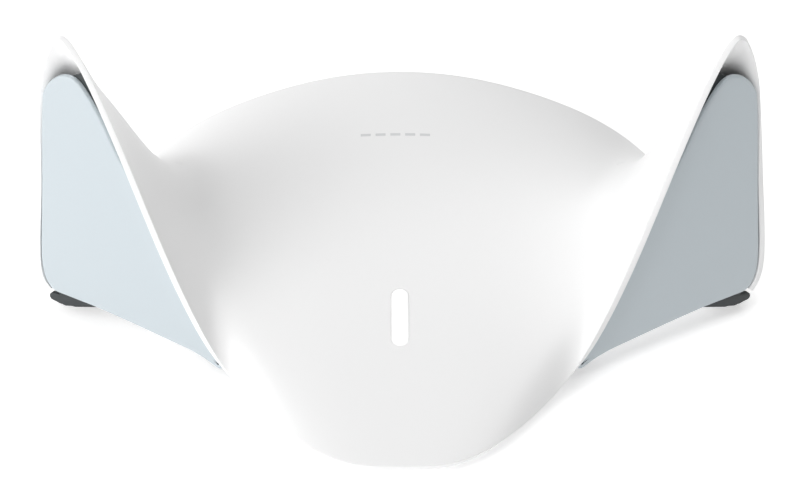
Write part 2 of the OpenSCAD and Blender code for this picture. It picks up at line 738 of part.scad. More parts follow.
chip_at = [0, board_y0 + 26];
chip_s = 19;
chip_t = 1.4;
pad_t = 1;
sink_s = 38;
sink_base = 1.6;
sink_h = 7;
module processor() color(black)
    block([chip_s, chip_s, chip_t], [chip_at.x, chip_at.y, board_top]);
module thermal_pad() color("#8fa0b4")
    block([chip_s, chip_s, pad_t], [chip_at.x, chip_at.y, board_top + chip_t]);
module heat_sink() color(metal) {
    z = board_top + chip_t + pad_t;
    block([sink_s, sink_s, sink_base], [chip_at.x, chip_at.y, z]);
    fins = 9;
    for (k = [0:fins - 1])
        block([1.2, sink_s, sink_h],
            [chip_at.x + (k / (fins - 1) - 0.5) * (sink_s - 1.2), chip_at.y, z]);
}
shield_w = 24;
plug_clear = 2.6;
shield_x = board_plug.x - plug_d / 2 - plug_clear - shield_w / 2;
memory_x = -(sink_s / 2 + shield_x - shield_w / 2) / 2;
module memory_chips() color(black) for (k = [0, 1])
    block([12, 8, 1.2], [memory_x, chip_at.y - 6 + 14 * k, board_top]);
module radio_shields() color(metal) for (s = [-1, 1])
    block([shield_w, 26, 3], [s * shield_x, chip_at.y, board_top]);
capacitor_d = 6.3;
capacitor_pitch = 9;
module capacitors() color("#303438") for (k = [0:2])
    translate([jack_x0 - jack_w / 2 - capacitor_d / 2 - 1 - k * capacitor_pitch,
        jack_face_y - dc_l - 9, board_top]) cylinder(d = capacitor_d, h = 7.5);
module power_coil() color("#4b4f53") {
    translate([power_x + 4, board_y1 - 34, board_top]) round_plate(9, 9, 4, 2);
}
module coax_plugs() color(brass) {
    for (s = [-1, 1]) translate([s * board_plug.x, board_plug.y, board_top])
        cylinder(d = plug_d, h = board_plug.z - board_top);
    for (side = ["left", "right"]) on_side(side)
        on_wing_plane(board_front + antenna_board_t + plug_h)
            translate(plug_at) cylinder(d = plug_d, h = plug_h);
}

top_shell();
bottom_case();
rear_bezel();
wing_panel("left");  // left_wing_panel
wing_panel("right");  // right_wing_panel
antenna_carrier("left");  // left_antenna_carrier
antenna_carrier("right");  // right_antenna_carrier
antenna_board("left");  // left_antenna_board
antenna_board("right");  // right_antenna_board
antenna_patches("left");  // left_antenna_patches
antenna_patches("right");  // right_antenna_patches
antenna_screws("left");  // left_antenna_screws
antenna_screws("right");  // right_antenna_screws
antenna_cable("left");  // left_antenna_cable
antenna_cable("right");  // right_antenna_cable
light_guide();
light_board();
status_leds();
light_ribbon();
main_board();
board_screws();
wan_jack();
lan_jack(1);  // lan_jack_1
lan_jack(2);  // lan_jack_2
lan_jack(3);  // lan_jack_3
lan_jack(4);  // lan_jack_4
jack_contacts();
network_transformers();
usb_jack();
usb_tongue();
dc_jack();
dc_pin();
power_button();
power_plunger();
power_switch();
pair_button();
pair_plunger();
pair_switch();
processor();
thermal_pad();
heat_sink();
memory_chips();
radio_shields();
capacitors();
power_coil();
coax_plugs();
case_screws();
rubber_feet();
label_plate();
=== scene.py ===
"""Wireless router with a swept white deck that rises into two antenna wings.

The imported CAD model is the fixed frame.  Every piece is made in metres in the frame's own
coordinates: +Z up, the front edge towards -Y, the sockets towards +Y and the table at Z = 0.
"""

from __future__ import annotations

import logging
import math
from contextlib import contextmanager
from dataclasses import dataclass, field
from enum import Enum
from typing import Callable, Iterator, Sequence

import bmesh
import bpy
import numpy as np
from mathutils import Matrix, Vector

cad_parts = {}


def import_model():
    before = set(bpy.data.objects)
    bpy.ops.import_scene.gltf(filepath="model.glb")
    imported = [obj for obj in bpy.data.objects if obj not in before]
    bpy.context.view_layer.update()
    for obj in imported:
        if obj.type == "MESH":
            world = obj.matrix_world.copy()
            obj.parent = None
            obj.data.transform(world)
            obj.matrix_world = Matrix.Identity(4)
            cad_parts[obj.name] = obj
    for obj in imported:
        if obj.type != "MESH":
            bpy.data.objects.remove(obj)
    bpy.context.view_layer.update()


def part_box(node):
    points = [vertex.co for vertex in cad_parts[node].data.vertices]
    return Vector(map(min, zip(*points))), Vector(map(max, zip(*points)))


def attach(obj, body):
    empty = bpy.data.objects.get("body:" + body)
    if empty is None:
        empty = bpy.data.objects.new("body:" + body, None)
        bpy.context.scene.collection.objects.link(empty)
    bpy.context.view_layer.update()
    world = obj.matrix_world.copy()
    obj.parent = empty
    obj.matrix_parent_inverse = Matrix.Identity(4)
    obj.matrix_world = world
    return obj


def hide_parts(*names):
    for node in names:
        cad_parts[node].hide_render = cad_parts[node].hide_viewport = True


LOG = logging.getLogger("router")
MM = 0.001
Point = tuple[float, float, float]
Box = tuple[Vector, Vector]


class Body(Enum):
    """The CAD bodies that pieces ride on."""

    CASE = "case"
    POWER_KEY = "power_key"
    PAIR_KEY = "pair_key"


class Side(Enum):
    """The two wings, with the sign of their X."""

    LEFT = -1
    RIGHT = 1

    @property
    def word(self) -> str:
        """Give the side's name as it stands in node names."""
        return self.name.lower()


# ------------------------------------------------------------------ bench tools


def mm(x: float, y: float, z: float) -> Vector:
    """Turn a place in millimetres to metres."""
    return Vector((x, y, z)) * MM


def pick(obj: bpy.types.Object) -> None:
    """Make an object the only selected one and the active one."""
    for other in bpy.context.selected_objects:
        other.select_set(False)
    obj.select_set(True)
    bpy.context.view_layer.objects.active = obj


def clear_selection() -> None:
    """Deselect everything."""
    for other in bpy.context.selected_objects:
        other.select_set(False)


@contextmanager
def editing(obj: bpy.types.Object, level: str = "FACE") -> Iterator[None]:
    """Hold an object in edit mode with nothing selected.

    Args:
        obj: The mesh object to work on.
        level: What is selected, VERT, EDGE or FACE.
    """
    pick(obj)
    bpy.ops.object.mode_set(mode="EDIT")
    bpy.ops.mesh.select_mode(type=level)
    bpy.ops.mesh.select_all(action="DESELECT")
    yield
    bpy.ops.object.mode_set(mode="OBJECT")


def choose(obj: bpy.types.Object, kind: str, test: Callable[..., bool]) -> None:
    """Select the elements of an object in edit mode that pass a test.

    Args:
        obj: The object in edit mode.
        kind: The elements to go through, verts, edges or faces.
        test: Says whether an element is selected.
    """
    bpy.ops.mesh.select_all(action="DESELECT")
    mesh = bmesh.from_edit_mesh(obj.data)
    for element in getattr(mesh, kind):
        if test(element):
            element.select_set(True)
    mesh.select_flush_mode()
    bmesh.update_edit_mesh(obj.data)


def facing(direction: Vector, level: float = 0.9) -> Callable[[bmesh.types.BMFace], bool]:
    """Give a test for faces that look along a direction."""
    return lambda face: face.normal.dot(direction) > level


def modify(obj: bpy.types.Object, kind: str, **settings: object) -> bpy.types.Object:
    """Add a modifier with its settings and apply it.

    Args:
        obj: The object to change.
        kind: The modifier's type.
        settings: The modifier's own settings.

    Returns:
        The same object.
    """
    pick(obj)
    tool = obj.modifiers.new(kind.lower(), kind)
    for name, value in settings.items():
        setattr(tool, name, value)
    bpy.ops.object.modifier_apply(modifier=tool.name)
    return obj


def soften(obj: bpy.types.Object, width: float, segments: int = 2,
           angle: float = 30) -> bpy.types.Object:
    """Round an object's sharp edges.

    Args:
        obj: The object to round.
        width: The width of the rounding in millimetres.
        segments: The steps across it.
        angle: The least angle in degrees at which an edge counts as sharp.

    Returns:
        The same object.
    """
    return modify(obj, "BEVEL", width=width * MM, segments=segments, limit_method="ANGLE",
                  angle_limit=math.radians(angle), miter_outer="MITER_ARC")


def divide(obj: bpy.types.Object) -> bpy.types.Object:
    """Split a pierced object's flat faces into triangles, so that none spans a hole."""
    return modify(obj, "TRIANGULATE", ngon_method="BEAUTY")


def settle(name: str) -> bpy.types.Object:
    """Name the new primitive and put its place, turn and scale into its mesh."""
    obj = bpy.context.object
    obj.name = name
    obj.data.name = name
    pick(obj)
    bpy.ops.object.transform_apply(location=True, rotation=True, scale=True)
    return obj


def add_block(name: str, low: Vector, high: Vector) -> bpy.types.Object:
    """Add a block between two corners."""
    clear_selection()
    bpy.ops.mesh.primitive_cube_add(size=1, location=(low + high) / 2, scale=high - low)
    return settle(name)


def add_rod(name: str, base: Vector, tip: Vector, radius: float,
            sides: int = 40) -> bpy.types.Object:
    """Add a round rod from one point to another.

    Args:
        name: The object's name.
        base: The middle of one end.
        tip: The middle of the other end.
        radius: The rod's radius in metres.
        sides: The number of flat sides.

    Returns:
        The rod.
    """
    clear_selection()
    axis = tip - base
    bpy.ops.mesh.primitive_cylinder_add(
        vertices=sides, radius=radius, depth=axis.length, location=(base + tip) / 2,
        rotation=axis.to_track_quat("Z", "Y").to_euler())
    return settle(name)


def fill_with_rod(name: str, box: Box, axis: str, sides: int) -> bpy.types.Object:
    """Fill a box with a round rod as wide as the box is in X.

    Args:
        name: The object's name.
        box: The box.
        axis: The axis along which the rod lies, Y or Z.
        sides: The number of flat sides.

    Returns:
        The rod.
    """
    low, high = box
    base = (low + high) / 2
    tip = base.copy()
    run = "XYZ".index(axis)
    base[run], tip[run] = low[run], high[run]
    return add_rod(name, base, tip, (high.x - low.x) / 2, sides)


def is_upright(edge: bmesh.types.BMEdge) -> bool:
    """Say whether an edge climbs."""
    return abs(edge.verts[0].co.z - edge.verts[1].co.z) > 0.01 * MM


def cut(obj: bpy.types.Object, *cutters: bpy.types.Object) -> bpy.types.Object:
    """Cut other objects out of an object and throw the cutters away."""
    for cutter in cutters:
        modify(obj, "BOOLEAN", object=cutter, operation="DIFFERENCE", solver="EXACT")
        bpy.data.objects.remove(cutter)
    return obj


def join(name: str, parts: Sequence[bpy.types.Object]) -> bpy.types.Object:
    """Join objects into one.

    Args:
        name: The name of the joined object.
        parts: The objects, which all go into the first.

    Returns:
        The joined object.
    """
    pick(parts[0])
    for part in parts[1:]:
        part.select_set(True)
    if len(parts) > 1:
        bpy.ops.object.join()
    parts[0].name = name
    parts[0].data.name = name
    return parts[0]


def copy_at(obj: bpy.types.Object, name: str, place: Matrix) -> bpy.types.Object:
    """Copy an object with its own mesh, put in its place by a matrix."""
    mesh = obj.data.copy()
    mesh.transform(place)
    twin = bpy.data.objects.new(name, mesh)
    bpy.context.scene.collection.objects.link(twin)
    return twin


def bench_copy(node: str, name: str) -> bpy.types.Object:
    """Copy a CAD node's mesh and make it whole, with flat faces undivided.

    Args:
        node: The CAD node's name.
        name: The copy's name.

    Returns:
        The copy, which belongs to no body yet.
    """
    source = bpy.data.objects[node]
    twin = bpy.data.objects.new(name, source.data.copy())
    twin.data.materials.clear()
    bpy.context.scene.collection.objects.link(twin)
    with editing(twin):
        bpy.ops.mesh.select_all(action="SELECT")
        bpy.ops.mesh.remove_doubles(threshold=0.001 * MM)
        bpy.ops.mesh.dissolve_limited(angle_limit=math.radians(0.5))
    return twin


def solids_of(node: str) -> list[Box]:
    """Find the boxes of a CAD node's separate solids, from -X to +X and then -Y to +Y."""
    mesh = bmesh.new()
    mesh.from_mesh(bpy.data.objects[node].data)
    bmesh.ops.remove_doubles(mesh, verts=mesh.verts, dist=0.001 * MM)
    left = set(mesh.verts)
    boxes = []
    while left:
        group = [left.pop()]
        for vert in group:
            near = {edge.other_vert(vert) for edge in vert.link_edges} & left
            left -= near
            group.extend(near)
        places = np.array([vert.co for vert in group])
        boxes.append((Vector(places.min(0)), Vector(places.max(0))))
    mesh.free()
    return sorted(boxes, key=lambda box: (round(box[0].x, 4), box[0].y))


# -------------------------------------------------------------------- finishes


def linear(code: str) -> tuple[float, float, float, float]:
    """Turn a sRGB hex colour to a linear colour with full alpha."""
    parts = [int(code[i:i + 2], 16) / 255 for i in (1, 3, 5)]
    red, green, blue = (c / 12.92 if c <= 0.04045 else ((c + 0.055) / 1.055) ** 2.4 for c in parts)
    return red, green, blue, 1.0


def add_node(tree: bpy.types.NodeTree, kind: str, settings: dict | None = None,
             inputs: dict | None = None) -> bpy.types.Node:
    """Add a node with its settings and links.

    Args:
        tree: The node tree.
        kind: The node's type.
        settings: Values of the node's own settings.
        inputs: What each input takes, a value or another node's output.

    Returns:
        The node.
    """
    node = tree.nodes.new(kind)
    for name, value in (settings or {}).items():
        setattr(node, name, value)
    for socket, value in (inputs or {}).items():
        if isinstance(value, bpy.types.NodeSocket):
            tree.links.new(value, node.inputs[socket])
        else:
            node.inputs[socket].default_value = value
    return node


NOISE_DETAIL = 3.0
NOISE_ROUGHNESS = 0.55
GLOSS_SPREAD = 0.125
COAT_ROUGHNESS = 0.12


@dataclass(frozen=True)
class Finish:
    """A substance with the surface that its making left, grained alike all over.

    Lengths are in millimetres.  The grain is noise, both in height and, faintly, in lightness.
    """

    name: str
    slot: str
    colour: str
    roughness: float
    grain: float = 1.2
    height: float = 0.006
    mottle: float = 0.015
    metallic: float = 0.0
    ior: float = 1.5
    coat: float = 0.0
    # Emission: a lamp's own light on the LEDs, and a painted glow on the opal lenses
    glow: float = 0.0
    stretch: Point = (1.0, 1.0, 1.0)

    def material(self) -> bpy.types.Material:
        """Give the finish's material, which is made once."""
        found = bpy.data.materials.get(self.name)
        if found:
            return found
        made = bpy.data.materials.new(self.name)
        made.use_nodes = True
        tree = made.node_tree
        tree.nodes.clear()
        place = add_node(tree, "ShaderNodeTexCoord").outputs["Object"]
        grain = self.noise(tree, place)
        shader = add_node(tree, "ShaderNodeBsdfPrincipled", None, {
            "Base Color": self.tint(tree, place, grain), "Metallic": self.metallic,
            "Roughness": self.gloss(tree, grain), "Normal": self.relief(tree, grain)})
        if not self.metallic:
            shader.inputs["IOR"].default_value = self.ior
        shader.inputs["Coat Weight"].default_value = self.coat
        shader.inputs["Coat Roughness"].default_value = COAT_ROUGHNESS
        shader.inputs["Emission Color"].default_value = linear(self.colour)
        shader.inputs["Emission Strength"].default_value = self.glow
        add_node(tree, "ShaderNodeOutputMaterial", None, {"Surface": shader.outputs["BSDF"]})
        return made

    def noise(self, tree: bpy.types.NodeTree, place: bpy.types.NodeSocket) -> bpy.types.NodeSocket:
        """Lay the grain over the surface, drawn out along its stretch."""
        laid = add_node(tree, "ShaderNodeMapping", None, {"Vector": place, "Scale": self.stretch})
        return add_node(tree, "ShaderNodeTexNoise", None, {
            "Vector": laid.outputs["Vector"], "Scale": 1 / (self.grain * MM),
            "Detail": NOISE_DETAIL, "Roughness": NOISE_ROUGHNESS}).outputs["Fac"]

    def shade(self, factor: float) -> tuple[float, float, float, float]:
        """Give the finish's own colour made lighter or darker."""
        red, green, blue, _ = linear(self.colour)
        return tuple(min(1.0, part * factor) for part in (red, green, blue)) + (1.0,)

    def tint(self, tree: bpy.types.NodeTree, place: bpy.types.NodeSocket,
             grain: bpy.types.NodeSocket) -> bpy.types.NodeSocket:
        """Colour the surface, a little lighter on the tops of the grain."""
        return add_node(tree, "ShaderNodeMix", {"data_type": "RGBA"}, {
            0: grain, 6: self.shade(1 - self.mottle), 7: self.shade(1 + self.mottle)}).outputs[2]

    def gloss(self, tree: bpy.types.NodeTree, grain: bpy.types.NodeSocket) -> bpy.types.NodeSocket:
        """Vary the roughness with the grain, by a share of itself."""
        spread = self.roughness * GLOSS_SPREAD
        return add_node(tree, "ShaderNodeMapRange", None, {
            "Value": grain, "To Min": self.roughness - spread,
            "To Max": self.roughness + spread}).outputs["Result"]

    def relief(self, tree: bpy.types.NodeTree,
               grain: bpy.types.NodeSocket) -> bpy.types.NodeSocket:
        """Raise the grain from the surface."""
        return add_node(tree, "ShaderNodeBump", None, {
            "Height": grain, "Distance": self.height * MM, "Strength": 1.0}).outputs["Normal"]


def step(tree: bpy.types.NodeTree, *sums: tuple) -> bpy.types.NodeSocket:
    """Work through a chain of Math nodes, where None stands for the last result.

    Args:
        tree: The node tree.
        sums: Each an operation and its inputs.

    Returns:
        The last result.
    """
    last = None
    for operation, *terms in sums:
        inputs = {i: last if term is None else term for i, term in enumerate(terms)}
        last = add_node(tree, "ShaderNodeMath", {"operation": operation}, inputs).outputs[0]
    return last


@dataclass(frozen=True)
class MarkedPlastic(Finish):
    """Moulded plastic with a row of plain pad-printed dashes on the deck."""

    ink: str = "#d4d5d6"
    mark_at: tuple[float, float] = (-2.0, 63.7)
    mark_size: tuple[float, float] = (32.0, 1.5)
    dashes: int = 5
    dash_reach: float = 0.34
    mark_above: float = 25.0

    def tint(self, tree: bpy.types.NodeTree, place: bpy.types.NodeSocket,
             grain: bpy.types.NodeSocket) -> bpy.types.NodeSocket:
        """Print the dashes over the plastic's own colour."""
        plain = super().tint(tree, place, grain)
        axes = add_node(tree, "ShaderNodeSeparateXYZ", None, {0: place}).outputs
        pitch = self.mark_size[0] / self.dashes * MM
        start = self.mark_at[0] * MM - self.mark_size[0] / 2 * MM
        across = step(tree, ("SUBTRACT", axes["X"], start), ("DIVIDE", None, pitch),
                      ("FRACT", None), ("SUBTRACT", None, 0.5), ("ABSOLUTE", None),
                      ("LESS_THAN", None, self.dash_reach))
        within = step(tree, ("SUBTRACT", axes["X"], self.mark_at[0] * MM), ("ABSOLUTE", None),
                      ("LESS_THAN", None, self.mark_size[0] / 2 * MM))
        along = step(tree, ("SUBTRACT", axes["Y"], self.mark_at[1] * MM), ("ABSOLUTE", None),
                     ("LESS_THAN", None, self.mark_size[1] / 2 * MM))
        above = step(tree, ("GREATER_THAN", axes["Z"], self.mark_above * MM),
                     ("MULTIPLY", None, along), ("MULTIPLY", None, across),
                     ("MULTIPLY", None, within))
        return add_node(tree, "ShaderNodeMix", {"data_type": "RGBA"}, {
            0: above, 6: plain, 7: linear(self.ink)}).outputs[2]


@dataclass(frozen=True)
class CircuitBoard(Finish):
    """Glass-epoxy board: copper tracks show as lighter lines under the solder mask."""

    track: str = "#3a8a5c"
    track_pitch: float = 5.0
    steps: float = 4.0
    share: float = 0.3

    def tint(self, tree: bpy.types.NodeTree, place: bpy.types.NodeSocket,
             grain: bpy.types.NodeSocket) -> bpy.types.NodeSocket:
        """Draw the tracks as stepped lines, bent by coarse cells."""
        plain = super().tint(tree, place, grain)
        cells = add_node(tree, "ShaderNodeTexVoronoi", {"distance": "MANHATTAN"}, {
            "Vector": place, "Scale": 1 / (self.track_pitch * MM)}).outputs["Distance"]
        lines = step(tree, ("MULTIPLY", cells, self.steps), ("FRACT", None),
                     ("LESS_THAN", None, self.share))
        return add_node(tree, "ShaderNodeMix", {"data_type": "RGBA"}, {
            0: lines, 6: plain, 7: linear(self.track)}).outputs[2]


@dataclass(frozen=True)
class RuledSheet(Finish):
    """Printed film or flat cable with parallel stripes across it, with no lettering."""

    stripe: str = "#c9ccce"
    pitch: float = 4.0
    share: float = 0.35
    axis: str = "Y"

    def tint(self, tree: bpy.types.NodeTree, place: bpy.types.NodeSocket,
             grain: bpy.types.NodeSocket) -> bpy.types.NodeSocket:
        """Draw the stripes over the sheet's own colour."""
        plain = super().tint(tree, place, grain)
        axes = add_node(tree, "ShaderNodeSeparateXYZ", None, {0: place}).outputs
        lines = step(tree, ("DIVIDE", axes[self.axis], self.pitch * MM), ("FRACT", None),
                     ("LESS_THAN", None, self.share))
        return add_node(tree, "ShaderNodeMix", {"data_type": "RGBA"}, {
            0: lines, 6: plain, 7: linear(self.stripe)}).outputs[2]


# Injection-moulded ABS from a finely spark-eroded tool: a satin warm white with a soft sheen.
# Its real grain of 0.1 mm is drawn twelve times as coarse, so that it shows at all.
SHELL = MarkedPlastic("satin_white_abs", "shell_white", "#f1f1f1", 0.42, grain=1.2, height=0.004,
                      mottle=0.006, ior=1.53)
# The same ABS unpainted and a touch greyer, as on an underside that no one sees.
CASE = Finish("matt_grey_abs", "case_grey", "#dddedf", 0.55, grain=1.0, height=0.012, mottle=0.02)
BEZEL = Finish("matt_light_grey_abs", "bezel_grey", "#d9dbdc", 0.5, grain=0.9, height=0.01,
               mottle=0.02)
# Polycarbonate with a satin blue-grey paint under a thin clear coat, which lifts its highlights.
PANEL = Finish("satin_blue_grey_paint", "panel_blue", "#bcc5ca", 0.38, grain=0.8, height=0.003,
               mottle=0.012, ior=1.5, coat=0.25)
CARRIER = Finish("black_glass_filled_nylon", "carrier_black", "#2b3032", 0.5, grain=0.9,
                 height=0.02, mottle=0.12)
BOARD = CircuitBoard("green_solder_mask", "board_green", "#1d5a3a", 0.32, grain=2.5, height=0.006,
                     mottle=0.06, coat=0.3)
COPPER = Finish("bare_copper_foil", "antenna_copper", "#d08a5c", 0.3, grain=0.5, height=0.004,
                mottle=0.05, metallic=1.0, stretch=(1, 6, 1))
# Zinc-plated steel wire, cold-headed: a fine turning grain round the head.
SCREW = Finish("zinc_plated_steel", "screw_steel", "#bfc3c6", 0.3, grain=0.35, height=0.006,
               mottle=0.06, metallic=1.0, stretch=(1, 1, 5))
CABLE = Finish("black_fep_jacket", "cable_black", "#1c1d1f", 0.4, grain=0.5, height=0.008,
               mottle=0.08)
# Opal acrylic with a painted glow: it gives off a faint white light of its own, so the pill reads
# as whiter than the deck.
LENS = Finish("opal_acrylic", "light_lens", "#ffffff", 0.28, grain=2.0, height=0.002,
              mottle=0.004, ior=1.49, coat=0.3, glow=0.16)
LED = Finish("phosphor_resin", "led_yellow", "#ece58a", 0.25, grain=0.4, height=0.006,
             mottle=0.06, glow=0.2)
RIBBON = RuledSheet("flat_flex_cable", "ribbon_white", "#eceae2", 0.4, grain=0.8, height=0.01,
                    stripe="#c3bfb2", pitch=1.0, share=0.4, axis="X")
JACK_BLUE = Finish("blue_pbt", "jack_blue", "#3f6fb4", 0.36, grain=0.6, height=0.01, mottle=0.04)
JACK_YELLOW = Finish("yellow_pbt", "jack_yellow", "#dfae36", 0.36, grain=0.6, height=0.01,
                     mottle=0.04)
GOLD = Finish("gold_flashed_bronze", "contact_gold", "#e3bd6a", 0.22, grain=0.3, height=0.003,
              mottle=0.05, metallic=1.0, stretch=(1, 5, 1))
CHIP = Finish("black_epoxy_mould", "chip_black", "#1b1d1f", 0.55, grain=0.35, height=0.015,
              mottle=0.12)
STEEL = Finish("nickel_plated_steel", "connector_steel", "#c9ccce", 0.26, grain=0.5, height=0.005,
               mottle=0.05, metallic=1.0, stretch=(1, 6, 1))
USB_BLUE = Finish("blue_nylon", "usb_blue", "#2c6cb0", 0.4, grain=0.5, height=0.01, mottle=0.05)
SOCKET_BLACK = Finish("black_pbt", "connector_black", "#1e2022", 0.38, grain=0.6, height=0.012,
                      mottle=0.1)
BUTTON = Finish("satin_grey_abs", "button_grey", "#c9cccf", 0.35, grain=0.7, height=0.005,
                mottle=0.015)
PAD = Finish("filled_silicone", "pad_blue", "#8fa2b8", 0.75, grain=0.5, height=0.03, mottle=0.08)
# Extruded aluminium, anodised clear: fine lines along the fins.
SINK = Finish("anodised_aluminium", "sink_aluminium", "#c6c9cc", 0.42, grain=0.4, height=0.01,
              mottle=0.06, metallic=1.0, stretch=(6, 1, 1))
SHIELD = Finish("tin_plated_steel", "shield_steel", "#cfd1d2", 0.34, grain=0.9, height=0.012,
                mottle=0.08, metallic=1.0)
CAN = Finish("sleeved_aluminium_can", "capacitor_black", "#33373c", 0.35, grain=0.5, height=0.006,
             mottle=0.06)
COIL = Finish("pressed_iron_powder", "coil_grey", "#565a5e", 0.7, grain=0.4, height=0.03,
              mottle=0.12)
RUBBER = Finish("moulded_rubber", "rubber_black", "#232425", 0.8, grain=0.7, height=0.03,
                mottle=0.12)
LABEL = RuledSheet("printed_polyester_film", "label_white", "#f4f4f2", 0.45, grain=1.0,
                   height=0.004, stripe="#c9cccd", pitch=5.5, share=0.22, axis="Y")


def hand_over(piece: bpy.types.Object, finish: Finish, nodes: Sequence[str] = (),
              body: Body = Body.CASE, smooth: float = 35.0) -> bpy.types.Object:
    """Dress a finished piece and let it ride on its body.

    Args:
        piece: The piece, in place.
        finish: What it is made of.
        nodes: The CAD nodes that it stands for.
        body: The body that it moves with.
        smooth: The angle in degrees up to which neighbouring faces are shaded as one.

    Returns:
        The same piece.
    """
    pick(piece)
    bpy.ops.object.shade_smooth_by_angle(angle=math.radians(smooth))
    piece.data.materials.clear()
    piece.data.materials.append(finish.material())
    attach(piece, body.value)
    if nodes:
        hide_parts(*nodes)
    LOG.info("%s: %d faces, rides on %s", piece.name, len(piece.data.polygons), body.value)
    return piece


def refine(node: str, name: str, finish: Finish, width: float,
           body: Body = Body.CASE) -> bpy.types.Object:
    """Stand a rounded and dressed copy in a CAD node's place.

    Args:
        node: The CAD node.
        name: The piece's name.
        finish: What the piece is made of.
        width: The rounding of its edges in millimetres.
        body: The body that it moves with.

    Returns:
        The piece.
    """
    return hand_over(soften(bench_copy(node, name), width), finish, [node], body)


# ------------------------------------------------------------------- top shell


def spline_basis(count: int, places: np.ndarray, slope: bool = False) -> np.ndarray:
    """Weigh a row of control points for a cubic B-spline that starts and ends on its end points.

    Args:
        count: The number of control points.
        places: Where the spline is met, from 0 to count - 1.
        slope: Whether the direction is wanted in place of the point.

    Returns:
        One row of weights for each place.
    """
    span = np.clip(np.floor(places).astype(int), 0, count - 2)
    t = places - span
    if slope:
        parts = [-(1 - t) ** 2, 3 * t ** 2 - 4 * t, -3 * t ** 2 + 2 * t + 1, t ** 2]
        weights = np.stack(parts, 1) / 2
    else:
        parts = [(1 - t) ** 3, 3 * t ** 3 - 6 * t ** 2 + 4, -3 * t ** 3 + 3 * t ** 2 + 3 * t + 1,
                 t ** 3]
        weights = np.stack(parts, 1) / 6
    wide = np.zeros((len(places), count + 2))
    rows = np.arange(len(places))
    for k in range(4):
        wide[rows, span + k] = weights[:, k]
    basis = wide[:, 1:-1].copy()
    basis[:, 0] += 2 * wide[:, 0]
    basis[:, 1] -= wide[:, 0]
    basis[:, -1] += 2 * wide[:, -1]
    basis[:, -2] -= wide[:, -1]
    return basis


@dataclass
class TopShell:
    """The swept deck and its two wings, one moulding of even wall.

    The control net has a row for each station from the front edge to the rear edge, and each
    row runs from the middle to a wing's outer edge.  Lengths are in millimetres.
    """

    wall: float = 2.5
    rim_round: float = 0.7
    columns: int = 256
    rows: int = 104
    boss_d: float = 7.5
    boss_hole: float = 2.7
    boss_hole_l: float = 12.0
    net: tuple[tuple[Point, ...], ...] = (
        ((0, -104, 6), (22, -104, 6), (44, -88, 6), (64.6, -60, 4), (78, -46.4, 18),
         (94, -29.4, 50), (110, -10.2, 91.3), (129.9, 12.5, 132.5), (136.7, 15.4, 124.7)),
        ((0, -53, 17), (34, -51, 18), (58, -40, 20), (74, -25, 30), (88, -10, 47),
         (103, 0, 71), (117, 10, 98), (130, 20, 126), (144.3, 19.5, 109)),
        ((0, 0, 29), (32, 0, 30), (60, 5, 34), (79, 12, 42), (93, 20, 53),
         (107, 25, 74), (121, 28, 99), (139, 25, 101), (148.3, 5, 59)),
        ((0, 54, 40), (30, 53, 38), (60, 52, 35), (84, 52, 32), (99, 53, 33),
         (116, 50, 42), (131, 39, 55), (146, 21, 52), (153.2, -1.6, 18.6)),
        ((0, 104, 45), (30, 104, 42), (58, 100, 36), (84, 93, 29), (106, 82, 20),
         (124, 63, 8), (136, 40, 5), (144, 16, 6), (147.3, -6.6, 11.4)))

    def full_net(self) -> np.ndarray:
        """Give the whole net in metres, from the left wing to the right."""
        half = np.array(self.net, float) * MM
        left = half[:, :0:-1] * np.array([-1, 1, 1])
        return np.concatenate([left, half], 1)

    def points(self, u: np.ndarray, v: np.ndarray) -> np.ndarray:
        """Give points of the outer face.

        Args:
            u: Places across, from 0 at the left wing's edge to 1 at the right wing's.
            v: Places from 0 at the front edge to 1 at the rear.

        Returns:
            One point for each pair of places, in metres.
        """
        net = self.full_net()
        across = spline_basis(net.shape[1], u * (net.shape[1] - 1))
        back = spline_basis(net.shape[0], v * (net.shape[0] - 1))
        return np.einsum("nr,nc,rcd->nd", back, across, net)

    def deck_height(self, x: float, y: float) -> float:
        """Find the height of the outer face over a point of the deck, in metres."""
        u, v = np.meshgrid(np.linspace(0.2, 0.8, 181), np.linspace(0, 1, 121))
        places = self.points(u.ravel(), v.ravel())
        gap = np.hypot(places[:, 0] - x, places[:, 1] - y)
        return float(places[gap.argmin(), 2])

    def build(self, light: StatusLight) -> bpy.types.Object:
        """Make the shell: a fine sheet laid on the net, thickened, rounded and cut for the light.

        Args:
            light: The status light that comes through the deck.

        Returns:
            The shell.
        """
        clear_selection()
        bpy.ops.mesh.primitive_grid_add(x_subdivisions=self.columns,
                                        y_subdivisions=self.rows, size=1)
        shell = settle("deck_and_wings_moulding")
        flat = np.array([vert.co for vert in shell.data.vertices])
        laid = self.points(flat[:, 0] + 0.5, flat[:, 1] + 0.5)
        shell.data.vertices.foreach_set("co", laid.astype(np.float32).ravel())
        shell.data.update()
        modify(shell, "SOLIDIFY", thickness=self.wall * MM, offset=-1, use_rim=True)
        soften(shell, self.rim_round, 3, 50)
        cut(shell, light.cutter())
        bosses = [self.boss(*box) for box in solids_of("case_screws")]
        joined = join(shell.name, [shell, *bosses])
        return hand_over(joined, SHELL, ["top_shell"], smooth=40)

    def boss(self, low: Vector, high: Vector) -> bpy.types.Object:
        """Make the screw boss that stands over a case screw."""
        middle = (low + high) / 2
        base = Vector((middle.x, middle.y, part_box("bottom_case")[0].z + self.wall * MM))
        top = self.deck_height(middle.x, middle.y) - self.wall / 2 * MM
        boss = add_rod("boss", base, Vector((base.x, base.y, top)), self.boss_d / 2 * MM, 32)
        below = base - mm(0, 0, 1)
        bore = add_rod("bore", below, below + mm(0, 0, self.boss_hole_l),
                       self.boss_hole / 2 * MM, 24)
        return soften(cut(boss, bore), 0.3, 2)


# ----------------------------------------------------------------- status light


